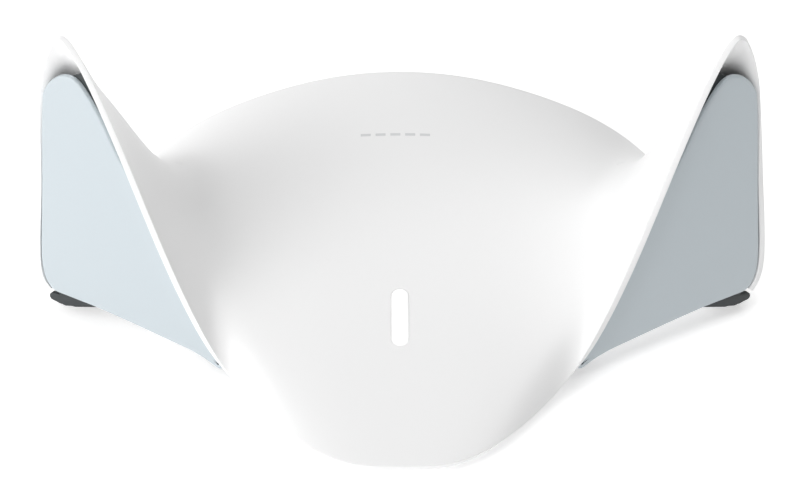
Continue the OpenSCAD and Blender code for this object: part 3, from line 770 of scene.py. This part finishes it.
@dataclass
class StatusLight:
    """The pill-shaped light guide in the deck, with its lamps and ribbon below."""

    gap: float = 0.2
    chamfer: float = 0.35
    crown: tuple[tuple[float, float], ...] = ((0.5, 0.2), (0.9, 0.1), (1.2, 0.05))
    flange_reach: float = 2.5
    flange_t: float = 1.2
    flange_gap: float = 0.3
    width: float = 7.0
    length: float = 28.0
    depth: float = 9.0
    middle_y: float = -34.0
    place: Matrix = field(init=False)

    def __post_init__(self) -> None:
        """Find the light's place and its slope on the deck."""
        shell = TopShell()
        front, middle, rear = (shell.deck_height(0, (self.middle_y + part * self.length) * MM)
                               for part in (-0.5, 0, 0.5))
        slope = math.atan2(rear - front, self.length * MM)
        self.place = (Matrix.Translation((0, self.middle_y * MM, middle))
                      @ Matrix.Rotation(slope, 4, "X"))
        LOG.info("status light at y %.1f mm, slope %.1f degrees", self.middle_y,
                 math.degrees(slope))

    def pill(self, name: str, grow: float, low: float, high: float) -> bpy.types.Object:
        """Make a pill-shaped prism: a round rod whose halves are drawn apart.

        Args:
            name: The prism's name.
            grow: What is added all round, in millimetres.
            low: The height of its foot above the deck, in millimetres.
            high: The height of its top.

        Returns:
            The prism, lying flat at the origin.
        """
        radius = self.width / 2 + grow
        rod = add_rod(name, mm(0, 0, low), mm(0, 0, high), radius * MM, 64)
        with editing(rod, "VERT"):
            for sign in (-1, 1):
                choose(rod, "verts", lambda vert: vert.co.y * sign > 1e-6)
                shift = (self.length - self.width) / 2 * MM * sign
                bpy.ops.transform.translate(value=(0, shift, 0))
        return rod

    def cutter(self) -> bpy.types.Object:
        """Make the cutter for the deck's slot, flared at its mouth for a chamfer."""
        body = self.pill("slot", self.gap, -10, 10)
        flare = self.pill("flare", self.gap + self.chamfer, -self.chamfer, 4)
        with editing(flare, "FACE"):
            choose(flare, "faces", facing(Vector((0, 0, -1))))
            share = 1 - 2 * self.chamfer / self.width
            bpy.ops.transform.resize(value=(share, 1 - 2 * self.chamfer / self.length, 1))
        modify(body, "BOOLEAN", object=flare, operation="UNION", solver="EXACT")
        bpy.data.objects.remove(flare)
        body.data.transform(self.place)
        return body

    def build(self) -> None:
        """Make the light guide, the lamps, their board and the ribbon."""
        guide = self.pill("light_guide_pill", 0, -self.depth, 0)
        with editing(guide, "FACE"):
            choose(guide, "faces", facing(Vector((0, 0, 1))))
            for inset, rise in self.crown:
                bpy.ops.mesh.inset(thickness=inset * MM, depth=rise * MM)
        top = -(TopShell.wall + self.flange_gap)
        flange = self.pill("flange", self.flange_reach, top - self.flange_t, top)
        joined = join("light_guide_pill", [guide, soften(flange, 0.2, 2)])
        joined.data.transform(self.place)
        # The guide carries the opal finish's painted glow, which makes it read whiter than the
        # deck.
        hand_over(joined, LENS, ["light_guide"], smooth=60)
        refine("light_board", "lamp_board", BOARD, 0.15)
        lamps = [self.lamp(*box) for box in solids_of("status_leds")]
        hand_over(join("status_lamps", lamps), LED, ["status_leds"])
        refine("light_ribbon", "lamp_ribbon", RIBBON, 0.05)

    def lamp(self, low: Vector, high: Vector) -> bpy.types.Object:
        """Make a surface-mounted lamp: a body with a round phosphor well."""
        body = soften(add_block("lamp", low, high), 0.15, 2)
        with editing(body, "FACE"):
            choose(body, "faces", facing(Vector((0, 0, 1)), 0.99))
            bpy.ops.mesh.inset(thickness=0.4 * MM, depth=0)
            bpy.ops.mesh.inset(thickness=0.15 * MM, depth=-0.2 * MM)
        return body


# ------------------------------------------------------------------------ wings


def even_ring(ring: np.ndarray, spacing: float) -> np.ndarray:
    """Space a closed ring's points evenly and take the sharpness off its corners.

    Args:
        ring: The ring's corners.
        spacing: The wanted distance between points, in metres.

    Returns:
        The new points.
    """
    closed = np.vstack([ring, ring[:1]])
    run = np.concatenate([[0], np.cumsum(np.linalg.norm(np.diff(closed, axis=0), axis=1))])
    count = int(run[-1] / spacing)
    marks = np.linspace(0, run[-1], count, endpoint=False)
    even = np.stack([np.interp(marks, run, closed[:, k]) for k in range(3)], 1)
    for _ in range(2):
        even = (np.roll(even, 1, 0) + 2 * even + np.roll(even, -1, 0)) / 4
    return even


@dataclass(frozen=True)
class Wing:
    """One wing's antenna bay: the plane that its open side lies in and what is set into it."""

    side: Side
    foot: Point = (74.5, -49, 6)
    heel: Point = (143.5, -11, 6)
    tip: Point = (136.5, 13.6, 128)
    pillow: tuple[tuple[float, float], ...] = (
        (0.0, -0.45), (0.12, -0.18), (0.45, 0.0), (1.2, 0.05), (2.4, 0.1))
    inset_step: float = 0.3
    spacing: float = 1.0

    def outward(self) -> Vector:
        """Give the direction in which the open side looks."""
        foot, heel, tip = (Vector(point) for point in (self.foot, self.heel, self.tip))
        along = (heel - foot).normalized()
        rise = tip - foot
        up = (rise - rise.dot(along) * along).normalized()
        out = along.cross(up)
        return Vector((out.x * self.side.value, out.y, out.z))

    def build(self) -> None:
        """Make everything that one wing holds."""
        self.panel()
        name = self.side.word
        refine(f"{name}_antenna_carrier", f"{name}_bay_back", CARRIER, 0.25)
        refine(f"{name}_antenna_board", f"{name}_aerial_board", BOARD, 0.1)
        refine(f"{name}_antenna_patches", f"{name}_aerial_patches", COPPER, 0.06)
        refine(f"{name}_antenna_screws", f"{name}_aerial_screws", SCREW, 0.2)
        self.cable()

    def panel(self) -> bpy.types.Object:
        """Make the painted panel: rings round its outline, bridged and closed at both ends."""
        node = f"{self.side.word}_wing_panel"
        blank = bench_copy(node, "blank")
        out = np.array(self.outward())
        thickness = self.thickness(blank)
        outline = self.outline(blank)
        bpy.data.objects.remove(blank)
        rings = [outline - out * thickness]
        for inset, rise in self.pillow:
            ring = outline
            steps = max(1, round(inset / self.inset_step))
            for _ in range(steps):
                ring = self.drawn_in(ring, out, inset * MM / steps)
            rings.append(ring + out * rise * MM)
        panel = self.bridged(f"{self.side.word}_wing_cover", rings)
        return hand_over(panel, PANEL, [node], smooth=50)

    def thickness(self, blank: bpy.types.Object) -> float:
        """Measure the panel's thickness along its outward direction, in metres."""
        heights = [vert.co.dot(self.outward()) for vert in blank.data.vertices]
        return max(heights) - min(heights)

    def outline(self, blank: bpy.types.Object) -> np.ndarray:
        """Follow the outer face's edge and space its points evenly.

        Args:
            blank: The panel as the CAD has it.

        Returns:
            The outline's points, running anticlockwise seen from outside.
        """
        mesh = bmesh.new()
        mesh.from_mesh(blank.data)
        is_front = facing(self.outward(), 0.999)
        bmesh.ops.dissolve_faces(mesh, faces=[face for face in mesh.faces if is_front(face)])
        front = max(filter(is_front, mesh.faces), key=lambda face: face.calc_area())
        points = [tuple(vert.co) for vert in front.verts]
        mesh.free()
        return even_ring(np.array(points), self.spacing * MM)

    def drawn_in(self, ring: np.ndarray, out: np.ndarray, inset: float) -> np.ndarray:
        """Move a ring's points inwards and even them out, so that corners never fold over."""
        along = np.roll(ring, -1, 0) - np.roll(ring, 1, 0)
        along /= np.linalg.norm(along, axis=1)[:, None]
        moved = ring + np.cross(out, along) * inset
        return (np.roll(moved, 1, 0) + 2 * moved + np.roll(moved, -1, 0)) / 4

    def bridged(self, name: str, rings: list[np.ndarray]) -> bpy.types.Object:
        """Bridge rings of equal count into a closed solid.

        Args:
            name: The solid's name.
            rings: The rings from the back to the middle of the front.

        Returns:
            The solid.
        """
        count = len(rings[0])
        places = [tuple(point) for ring in rings for point in ring]
        loops = [(k * count + i, k * count + (i + 1) % count)
                 for k in range(len(rings)) for i in range(count)]
        mesh = bpy.data.meshes.new(name)
        mesh.from_pydata(places, loops, [])
        solid = bpy.data.objects.new(name, mesh)
        bpy.context.scene.collection.objects.link(solid)
        for k in range(len(rings) - 1):
            with editing(solid, "VERT"):
                choose(solid, "verts", lambda vert: vert.index // count in (k, k + 1))
                bpy.ops.mesh.select_mode(type="EDGE")
                bpy.ops.mesh.bridge_edge_loops()
        for last in (0, len(rings) - 1):
            with editing(solid, "VERT"):
                choose(solid, "verts", lambda vert: vert.index // count == last)
                bpy.ops.mesh.edge_face_add()
        with editing(solid, "FACE"):
            bpy.ops.mesh.select_all(action="SELECT")
            bpy.ops.mesh.normals_make_consistent(inside=False)
        return solid

    def cable(self) -> bpy.types.Object:
        """Make the coaxial lead from the CAD tube, rounded by subdivision."""
        name = f"{self.side.word}_antenna_cable"
        lead = bench_copy(name, f"{self.side.word}_aerial_lead")
        modify(lead, "SUBSURF", levels=1, render_levels=1)
        return hand_over(lead, CABLE, [name], smooth=60)


# -------------------------------------------------------------------- underside


@dataclass(frozen=True)
class Screw:
    """A cross-recessed screw, drawn head down with its head's face at the origin."""

    head_d: float
    head_h: float
    shank_d: float
    length: float
    recess_d: float
    recess_w: float = 0.7
    recess_share: float = 0.6
    thread_pitch: float = 0.8
    root_share: float = 0.84

    def build(self, name: str) -> bpy.types.Object:
        """Make the screw: a domed head with a cross cut in it and a ringed shank.

        Args:
            name: The screw's name.

        Returns:
            The screw.
        """
        head = add_rod(name, mm(0, 0, 0), mm(0, 0, self.head_h), self.head_d / 2 * MM, 36)
        soften(head, 0.3, 3, 60)
        deep = self.head_h * self.recess_share
        arms = []
        for turn in (0, 90):
            size = Matrix.Rotation(math.radians(turn), 4, "Z") @ Vector(
                (self.recess_d / 2, self.recess_w / 2, 0))
            corner = mm(abs(size.x), abs(size.y), 0)
            arms.append(add_block("arm", -corner - mm(0, 0, 1), corner + mm(0, 0, deep)))
        cut(head, *arms)
        shank = add_rod("shank", mm(0, 0, self.head_h), mm(0, 0, self.length),
                        self.shank_d / 2 * MM, 24)
        turns = int((self.length - self.head_h) / self.thread_pitch)
        with editing(shank, "FACE"):
            for k in range(1, turns * 2):
                bpy.ops.mesh.select_all(action="SELECT")
                height = self.head_h + k * self.thread_pitch / 2
                bpy.ops.mesh.bisect(plane_co=mm(0, 0, height), plane_no=(0, 0, 1))
        with editing(shank, "VERT"):
            choose(shank, "verts", lambda vert: self.is_root(vert.co.z / MM))
            bpy.ops.transform.resize(value=(self.root_share, self.root_share, 1))
        return join(name, [head, shank])

    def is_root(self, height: float) -> bool:
        """Say whether a height on the shank is the bottom of a thread."""
        turn = (height - self.head_h) / (self.thread_pitch / 2)
        return abs(turn - round(turn)) < 0.01 and round(turn) % 2 == 1


@dataclass
class Underside:
    """The bottom case with its feet, screws and label."""

    foot_rim: float = 1.4
    foot_slope: float = 0.5
    foot_recess: float = 0.6
    label_corner: float = 2.0

    def build(self) -> None:
        """Make everything on the underside."""
        refine("bottom_case", "underbody", CASE, 0.3)
        feet = [self.foot(*box) for box in solids_of("rubber_feet")]
        hand_over(join("rubber_pads", feet), RUBBER, ["rubber_feet"])
        self.screws()
        self.label()

    def foot(self, low: Vector, high: Vector) -> bpy.types.Object:
        """Make one foot: a disc with rounded edges and a dished sole."""
        disc = fill_with_rod("foot", (low, high), "Z", 48)
        with editing(disc, "FACE"):
            choose(disc, "faces", facing(Vector((0, 0, -1))))
            bpy.ops.mesh.inset(thickness=self.foot_rim * MM, depth=0)
            bpy.ops.mesh.inset(thickness=self.foot_slope * MM, depth=-self.foot_recess * MM)
        return soften(disc, 0.35, 3)

    def screws(self) -> None:
        """Drive the case screws from below and the board screws from above."""
        low, high = solids_of("case_screws")[0]
        kind = Screw(head_d=(high.x - low.x) / MM, head_h=1.6, shank_d=2.6,
                     length=(high.z - low.z) / MM, recess_d=3.8)
        self.drive("case_fixings", "case_screws", kind, 1)
        low, high = solids_of("board_screws")[0]
        kind = Screw(head_d=(high.x - low.x) / MM, head_h=1.4, shank_d=2.2,
                     length=(high.z - low.z) / MM, recess_d=2.8, recess_w=0.55)
        self.drive("board_fixings", "board_screws", kind, -1)

    def drive(self, name: str, node: str, kind: Screw, way: int) -> None:
        """Put one kind of screw into each of its places.

        Args:
            name: The name of the joined screws.
            node: The CAD node that they stand for.
            kind: The screw.
            way: 1 for a head that looks down and -1 for a head that looks up.
        """
        model = kind.build("screw")
        placed = []
        for low, high in solids_of(node):
            middle = (low + high) / 2
            if way > 0:
                place = Matrix.Translation((middle.x, middle.y, low.z))
            else:
                place = Matrix.Translation((middle.x, middle.y, high.z)) @ Matrix.Rotation(
                    math.pi, 4, "X")
            placed.append(copy_at(model, f"{node}_{len(placed)}", place))
        bpy.data.objects.remove(model)
        hand_over(join(name, placed), SCREW, [node])

    def label(self) -> None:
        """Lay the rating label, a film with round corners and no wording."""
        low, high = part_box("label_plate")
        film = add_block("rating_label", low, high)
        with editing(film, "EDGE"):
            choose(film, "edges", is_upright)
            bpy.ops.mesh.bevel(offset=self.label_corner * MM, segments=6)
        hand_over(film, LABEL, ["label_plate"])


# ------------------------------------------------------------------ socket row


@dataclass(frozen=True)
class NetworkSocket:
    """An eight-way network socket that looks to +Y, with lengths in millimetres."""

    sill: float = 3.6
    head: float = 2.9
    cheek: float = 2.0
    deep: float = 13.0
    latch_w: float = 6.2
    latch_h: float = 2.2
    step_w: float = 3.2
    step_h: float = 0.9
    window_w: float = 2.8
    window_h: float = 1.5
    window_side: float = 1.1
    window_top: float = 0.7
    window_deep: float = 1.0
    lens_t: float = 0.9
    lens_set: float = 0.65

    def build(self, name: str, low: Vector, high: Vector) -> bpy.types.Object:
        """Make the socket's body: a block with its mouth, latch notch and lamp windows cut.

        Args:
            name: The socket's name.
            low: The lowest corner of its place.
            high: The highest corner.

        Returns:
            The body.
        """
        middle = (low.x + high.x) / 2
        body = add_block(name, low, high)
        back = high.y - self.deep * MM
        front = high.y + 1 * MM
        floor = low.z + self.sill * MM
        mouth = add_block("mouth", Vector((low.x + self.cheek * MM, back, floor)),
                          Vector((high.x - self.cheek * MM, front, high.z - self.head * MM)))
        latch = add_block("latch", Vector((middle - self.latch_w / 2 * MM, back,
                                           floor - self.latch_h * MM)),
                          Vector((middle + self.latch_w / 2 * MM, front, floor + 1 * MM)))
        slot = add_block("step", Vector((middle - self.step_w / 2 * MM, back, floor
                                         - (self.latch_h + self.step_h) * MM)),
                         Vector((middle + self.step_w / 2 * MM, front, floor + 1 * MM)))
        cut(body, mouth, latch, slot, *self.windows(low, high, self.window_deep))
        return soften(divide(body), 0.22, 2, 40)

    def windows(self, low: Vector, high: Vector, deep: float) -> list[bpy.types.Object]:
        """Make blocks the size of the two lamp windows in the upper corners.

        Args:
            low: The socket's lowest corner.
            high: Its highest corner.
            deep: How far they reach into the face, in millimetres.

        Returns:
            The two blocks.
        """
        made = []
        for x in (low.x + self.window_side * MM,
                  high.x - (self.window_side + self.window_w) * MM):
            corner = Vector((x, high.y - deep * MM,
                             high.z - (self.window_top + self.window_h) * MM))
            reach = mm(self.window_w, deep + 0.5, self.window_h)
            made.append(add_block("window", corner, corner + reach))
        return made

    def lenses(self, low: Vector, high: Vector) -> list[bpy.types.Object]:
        """Make the two lenses that fill the windows, just behind the face."""
        made = []
        for lens in self.windows(low, high, self.lens_t):
            with editing(lens, "FACE"):
                choose(lens, "faces", facing(Vector((0, 1, 0))))
                bpy.ops.transform.translate(value=(0, -self.lens_set * MM, 0))
            made.append(soften(lens, 0.12, 2))
        return made


LEAD_REACH = 0.9 * MM
LEAD_T = 0.15 * MM
LEAD_LIFT = 0.1 * MM
LEAD_SHARE = 0.4
# Keeps a lead's upright arm just off the side of its block
LEAD_GAP = 0.01 * MM


def leaded_chip(box: Box, axis: str, leads: int, width: float) -> bpy.types.Object:
    """Make a moulded block with a row of bent leads on two sides.

    Args:
        box: The block's place with its leads.
        axis: The axis on which the leads stick out, X or Y.
        leads: The number of leads on a side.
        width: The width of a lead in millimetres.

    Returns:
        The block and its leads.
    """
    low, high = box
    out = 0 if axis == "X" else 1
    inner_low, inner_high = low.copy(), high.copy()
    inner_low[out] += LEAD_REACH
    inner_high[out] -= LEAD_REACH
    inner_low.z += LEAD_LIFT
    parts = [soften(add_block("block", inner_low, inner_high), 0.25, 2)]
    row = 1 - out
    run = inner_high[row] - inner_low[row]
    for side in (-1, 1):
        for k in range(leads):
            middle = inner_low[row] + run * (k + 0.5) / leads
            foot_low, foot_high = low.copy(), low.copy()
            foot_low[row] = middle - width / 2 * MM
            foot_high[row] = middle + width / 2 * MM
            edge = low[out] if side < 0 else high[out] - LEAD_REACH
            foot_low[out] = edge
            foot_high[out] = edge + LEAD_REACH
            foot_high.z = low.z + LEAD_T
            lead = add_block("lead", foot_low, foot_high)
            inward = Vector((0, 0, 0))
            inward[out] = -side
            raise_lead(lead, inward, (inner_high.z - low.z) * LEAD_SHARE)
            parts.append(lead)
    return join("leaded_chip", parts)


def raise_lead(lead: bpy.types.Object, inward: Vector, rise: float) -> None:
    """Bend a lead's inner end upwards along the side of its block."""
    with editing(lead, "FACE"):
        choose(lead, "faces", facing(inward))
        bpy.ops.mesh.extrude_region_move(
            TRANSFORM_OT_translate={"value": (*inward.xy * LEAD_GAP, rise)})


@dataclass
class SocketRow:
    """The rear bezel and all that is plugged into from behind."""

    jacks: tuple[str, ...] = ("wan_jack", "lan_jack_1", "lan_jack_2", "lan_jack_3", "lan_jack_4")
    spring_root: float = 2.0
    spring_bends: tuple[tuple[float, float], ...] = ((3.0, 0.0), (2.6, -1.1), (1.2, -1.7))
    usb_windows: tuple[float, ...] = (-3.0, 3.0)
    usb_strips: int = 4
    inlet_wall: float = 1.85

    def build(self) -> None:
        """Make the bezel and every socket."""
        hand_over(divide(bench_copy("rear_bezel", "socket_bezel")), BEZEL, ["rear_bezel"])
        self.network()
        self.usb()
        self.power()

    def network(self) -> None:
        """Make the five network sockets, their contacts, lenses and transformers."""
        kind = NetworkSocket()
        lenses = []
        for node in self.jacks:
            low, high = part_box(node)
            paint = JACK_BLUE if node == "wan_jack" else JACK_YELLOW
            hand_over(kind.build(f"{node}_housing", low, high), paint, [node])
            lenses.extend(kind.lenses(low, high))
        # The socket lenses carry the same painted glow, with no lamp lit behind them.
        hand_over(join("socket_lamp_lenses", lenses), LENS)
        springs = [self.spring(*box) for box in solids_of("jack_contacts")]
        hand_over(join("contact_springs", springs), GOLD, ["jack_contacts"], smooth=50)
        blocks = [leaded_chip(box, "X", 6, 0.3) for box in solids_of("network_transformers")]
        hand_over(join("line_transformers", blocks), CHIP, ["network_transformers"])

    def spring(self, low: Vector, high: Vector) -> bpy.types.Object:
        """Make one contact spring: a wire that dips from the roof of the mouth to its front.

        The wire is a thin block whose far end is drawn out and down by two bends.
        """
        wire = add_block("spring", low, Vector((high.x, low.y + self.spring_root * MM, high.z)))
        with editing(wire, "FACE"):
            choose(wire, "faces", facing(Vector((0, 1, 0))))
            for forward, drop in self.spring_bends:
                bpy.ops.mesh.extrude_region_move(
                    TRANSFORM_OT_translate={"value": (0, forward * MM, drop * MM)})
        return wire

    def usb(self) -> None:
        """Make the USB socket: a folded steel sleeve with spring windows, and its tongue."""
        sleeve = bench_copy("usb_jack", "usb_sleeve")
        low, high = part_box("usb_jack")
        middle = (low + high) / 2
        windows = []
        for offset in self.usb_windows:
            corner = Vector((middle.x + offset * MM - 1.0 * MM, high.y - 8 * MM, high.z - 1 * MM))
            windows.append(add_block("window", corner, corner + mm(2.0, 4.0, 2.0)))
        cut(sleeve, *windows)
        hand_over(soften(sleeve, 0.1, 2), STEEL, ["usb_jack"])
        refine("usb_tongue", "usb_tongue_core", USB_BLUE, 0.2)
        low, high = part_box("usb_tongue")
        strips = []
        for k in range(self.usb_strips):
            x = low.x + (high.x - low.x) * (k + 0.5) / self.usb_strips
            start = Vector((x - 0.5 * MM, low.y + 1 * MM, low.z - 0.12 * MM))
            strips.append(soften(add_block("strip", start, Vector(
                (x + 0.5 * MM, high.y - 0.8 * MM, low.z + 0.05 * MM))), 0.04, 1))
        hand_over(join("usb_contacts", strips), GOLD)

    def power(self) -> None:
        """Make the power inlet with a stepped collar, and its centre pin."""
        inlet = bench_copy("dc_jack", "power_inlet_body")
        low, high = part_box("dc_jack")
        pin_low, pin_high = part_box("dc_pin")
        centre = (pin_low + pin_high) / 2
        bore = (high.x - low.x) / 2 - self.inlet_wall * MM
        ring = add_rod("ring", Vector((centre.x, high.y - 0.5 * MM, centre.z)),
                       Vector((centre.x, high.y + 1 * MM, centre.z)), bore + 0.8 * MM, 48)
        cut(inlet, ring)
        hand_over(soften(inlet, 0.25, 2), SOCKET_BLACK, ["dc_jack"])
        pin = fill_with_rod("power_pin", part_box("dc_pin"), "Y", 32)
        hand_over(soften(pin, 0.5, 4), GOLD, ["dc_pin"])


# --------------------------------------------------------------------- buttons


@dataclass(frozen=True)
class PushButton:
    """A round button in the bezel with the plunger behind it and the switch that it presses."""

    word: str
    body: Body
    rim: float = 0.9
    dish: float = 0.35
    dish_steps: tuple[float, ...] = (0.5, 0.3, 0.2)
    dish_step_w: float = 0.5

    def build(self) -> None:
        """Make the cap, the plunger and the switch."""
        self.cap()
        refine(f"{self.word}_plunger", f"{self.word}_stem", SOCKET_BLACK, 0.2, self.body)
        switch = bench_copy(f"{self.word}_switch", f"{self.word}_switch_can")
        hand_over(soften(switch, 0.3, 2), STEEL, [f"{self.word}_switch"])

    def cap(self) -> bpy.types.Object:
        """Make the cap: a round key with a softly dished face and a grooved edge."""
        node = f"{self.word}_button"
        key = fill_with_rod(f"{self.word}_key_cap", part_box(node), "Y", 64)
        with editing(key, "FACE"):
            choose(key, "faces", facing(Vector((0, 1, 0))))
            bpy.ops.mesh.inset(thickness=self.rim * MM, depth=0)
            for share in self.dish_steps:
                bpy.ops.mesh.inset(thickness=self.dish_step_w * MM,
                                   depth=-self.dish * share * MM)
        return hand_over(soften(key, 0.3, 3), BUTTON, [node], self.body)


# ----------------------------------------------------------------- electronics


@dataclass
class Electronics:
    """The main board and what is soldered to it."""

    shield_hole: float = 1.2
    shield_rows: int = 5
    can_rings: tuple[float, ...] = (1.0, 1.4, 1.8)
    can_neck: float = 0.9
    score_deep: float = 0.15
    chip_leads: int = 12

    def build(self) -> None:
        """Make the board and its parts."""
        refine("main_board", "mother_board", BOARD, 0.12)
        self.processor()
        self.memory()
        self.shields()
        self.capacitors()
        self.coil()
        refine("thermal_pad", "heat_pad", PAD, 0.2)
        refine("heat_sink", "finned_heat_sink", SINK, 0.2)
        refine("coax_plugs", "aerial_plugs", GOLD, 0.2)

    def processor(self) -> None:
        """Make the main chip, with a chamfered lid and a dot at its first corner."""
        low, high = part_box("processor")
        chip = add_block("main_chip", low, high)
        with editing(chip, "FACE"):
            choose(chip, "faces", facing(Vector((0, 0, 1))))
            bpy.ops.mesh.inset(thickness=1.2 * MM, depth=0)
            bpy.ops.mesh.inset(thickness=0.25 * MM, depth=-0.12 * MM)
        dot = add_rod("dot", Vector((low.x + 2.6 * MM, low.y + 2.6 * MM, high.z - 0.3 * MM)),
                      Vector((low.x + 2.6 * MM, low.y + 2.6 * MM, high.z + 1 * MM)), 0.5 * MM, 24)
        cut(chip, dot)
        hand_over(soften(chip, 0.1, 1), CHIP, ["processor"])

    def memory(self) -> None:
        """Make the memory chips with leads on two sides."""
        chips = [leaded_chip(box, "X", self.chip_leads, 0.25)
                 for box in solids_of("memory_chips")]
        hand_over(join("memory_packages", chips), CHIP, ["memory_chips"])

    def shields(self) -> None:
        """Make the radio shields: stamped cans with rows of vent holes in their lids."""
        cans = []
        for low, high in solids_of("radio_shields"):
            can = soften(add_block("can", low, high), 0.6, 3)
            holes = []
            for i in range(self.shield_rows):
                for j in range(self.shield_rows):
                    x = low.x + (high.x - low.x) * (i + 1) / (self.shield_rows + 1)
                    y = low.y + (high.y - low.y) * (j + 1) / (self.shield_rows + 1)
                    holes.append(add_rod("hole", Vector((x, y, high.z - 0.4 * MM)),
                                         Vector((x, y, high.z + 1 * MM)),
                                         self.shield_hole / 2 * MM, 16))
            cans.append(cut(can, join("holes", holes)))
        hand_over(join("radio_cans", cans), SHIELD, ["radio_shields"])

    def capacitors(self) -> None:
        """Make the capacitors: cans with a crimped neck and a cross-scored top."""
        made = []
        for low, high in solids_of("capacitors"):
            middle = (low + high) / 2
            radius = (high.x - low.x) / 2
            can = fill_with_rod("can", (low, high), "Z", 40)
            with editing(can, "FACE"):
                for height in self.can_rings:
                    bpy.ops.mesh.select_all(action="SELECT")
                    bpy.ops.mesh.bisect(plane_co=(0, 0, low.z + height * MM),
                                        plane_no=(0, 0, 1))
            with editing(can, "VERT"):
                neck = low.z + self.can_rings[1] * MM
                choose(can, "verts", lambda vert: abs(vert.co.z - neck) < 0.01 * MM)
                bpy.ops.transform.resize(value=(self.can_neck, self.can_neck, 1),
                                         center_override=(middle.x, middle.y, neck))
            soften(can, 0.3, 3, 60)
            arms = []
            for wide, deep in ((radius * 0.6, 0.12 * MM), (0.12 * MM, radius * 0.6)):
                corner = Vector((wide, deep, 0))
                top = Vector((middle.x, middle.y, high.z))
                arms.append(add_block("score", top - corner - mm(0, 0, self.score_deep),
                                      top + corner + mm(0, 0, 1)))
            made.append(cut(can, *arms))
        hand_over(join("smoothing_capacitors", made), CAN, ["capacitors"])

    def coil(self) -> None:
        """Make the power coil: a pressed block with a round boss on its top."""
        low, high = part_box("power_coil")
        block = add_block("choke", low, Vector((high.x, high.y, high.z - 0.6 * MM)))
        with editing(block, "EDGE"):
            choose(block, "edges", is_upright)
            bpy.ops.mesh.bevel(offset=2 * MM, segments=5)
        middle = (low + high) / 2
        boss = add_rod("boss", Vector((middle.x, middle.y, high.z - 0.8 * MM)),
                       Vector((middle.x, middle.y, high.z)), (high.x - low.x) * 0.36, 40)
        hand_over(join("power_choke", [soften(block, 0.25, 2), soften(boss, 0.2, 2)]), COIL,
                  ["power_coil"])


# ---------------------------------------------------------------------- studio


@dataclass
class SoftLight:
    """A large square lamp that looks at the router.

    The bearing is the angle round the router from straight in front of it and the rise the angle
    up from the table, both in degrees.  The power is in watts and the lengths are in metres.
    """

    name: str
    bearing: float
    rise: float
    power: float
    size: float = 1.0
    reach: float = 1.6

    def build(self, target: Vector) -> None:
        """Hang the lamp and turn it to the target."""
        bearing, rise = math.radians(self.bearing), math.radians(self.rise)
        away = Vector((math.sin(bearing) * math.cos(rise),
                       -math.cos(bearing) * math.cos(rise), math.sin(rise)))
        turn = (-away).to_track_quat("-Z", "Y").to_euler()
        clear_selection()
        bpy.ops.object.light_add(type="AREA", location=target + away * self.reach,
                                 rotation=turn)
        lamp = bpy.context.object
        lamp.name = self.name
        lamp.data.size = self.size
        lamp.data.energy = self.power


@dataclass
class Studio:
    """A white table and backdrop in one, soft lamps and the camera."""

    target: Point = (0.0, -0.0045, 0.0375)
    distance: float = 1.005
    elevation: float = 40.0
    lens: float = 110.0
    sensor: float = 36.0
    floor_size: float = 12.0
    floor_drop: float = 0.01
    floor_shade: float = 0.85
    floor_roughness: float = 0.9
    floor_glow: float = 0.45
    sky: float = 0.15
    lamps: tuple[SoftLight, ...] = (
        SoftLight("key_left", -60, 45, 10.1), SoftLight("low_left", -60, 15, 10.3),
        SoftLight("fill_front", 0, 15, 3.1), SoftLight("fill_top", 90, 75, 7.8),
        SoftLight("fill_right", 120, 15, 3.2), SoftLight("rim_rear", 180, 45, 3.4),
        SoftLight("rim_left", -150, 15, 4.9))

    def build(self) -> None:
        """Set the camera, the table, the sky and the lamps."""
        self.camera()
        self.table()
        self.world()
        for lamp in self.lamps:
            lamp.build(Vector(self.target))
        bpy.context.scene.view_settings.view_transform = "Standard"

    def camera(self) -> None:
        """Stand the camera in front of the router, looking down on it."""
        tilt = math.radians(self.elevation)
        back = Vector((0, -math.cos(tilt), math.sin(tilt)))
        clear_selection()
        bpy.ops.object.camera_add(location=Vector(self.target) + back * self.distance,
                                  rotation=(math.pi / 2 - tilt, 0, 0))
        camera = bpy.context.object
        camera.data.lens = self.lens
        camera.data.sensor_width = self.sensor
        bpy.context.scene.camera = camera

    def table(self) -> None:
        """Lay a white table that glows a little, so that it reads as a white ground."""
        clear_selection()
        bpy.ops.mesh.primitive_plane_add(size=self.floor_size,
                                         location=mm(0, 0, -self.floor_drop))
        table = settle("white_table")
        paint = bpy.data.materials.new("white_laminate")
        paint.use_nodes = True
        shader = paint.node_tree.nodes["Principled BSDF"]
        shader.inputs["Base Color"].default_value = (*[self.floor_shade] * 3, 1)
        shader.inputs["Roughness"].default_value = self.floor_roughness
        shader.inputs["Specular IOR Level"].default_value = 0.0
        shader.inputs["Emission Color"].default_value = (1, 1, 1, 1)
        shader.inputs["Emission Strength"].default_value = self.floor_glow
        table.data.materials.append(paint)

    def world(self) -> None:
        """Fill the room with an even white light."""
        world = bpy.data.worlds.new("white_room")
        world.use_nodes = True
        background = world.node_tree.nodes["Background"]
        background.inputs["Color"].default_value = (1, 1, 1, 1)
        background.inputs["Strength"].default_value = self.sky
        bpy.context.scene.world = world


def main() -> None:
    """Build the router round its frame."""
    logging.basicConfig(level=logging.INFO, format="%(name)s: %(message)s")
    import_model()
    clear_selection()
    Studio().build()
    light = StatusLight()
    TopShell().build(light)
    light.build()
    for side in Side:
        Wing(side).build()
    Underside().build()
    SocketRow().build()
    PushButton("power", Body.POWER_KEY).build()
    PushButton("pair", Body.PAIR_KEY).build()
    Electronics().build()


if __name__ == "__main__":
    main()
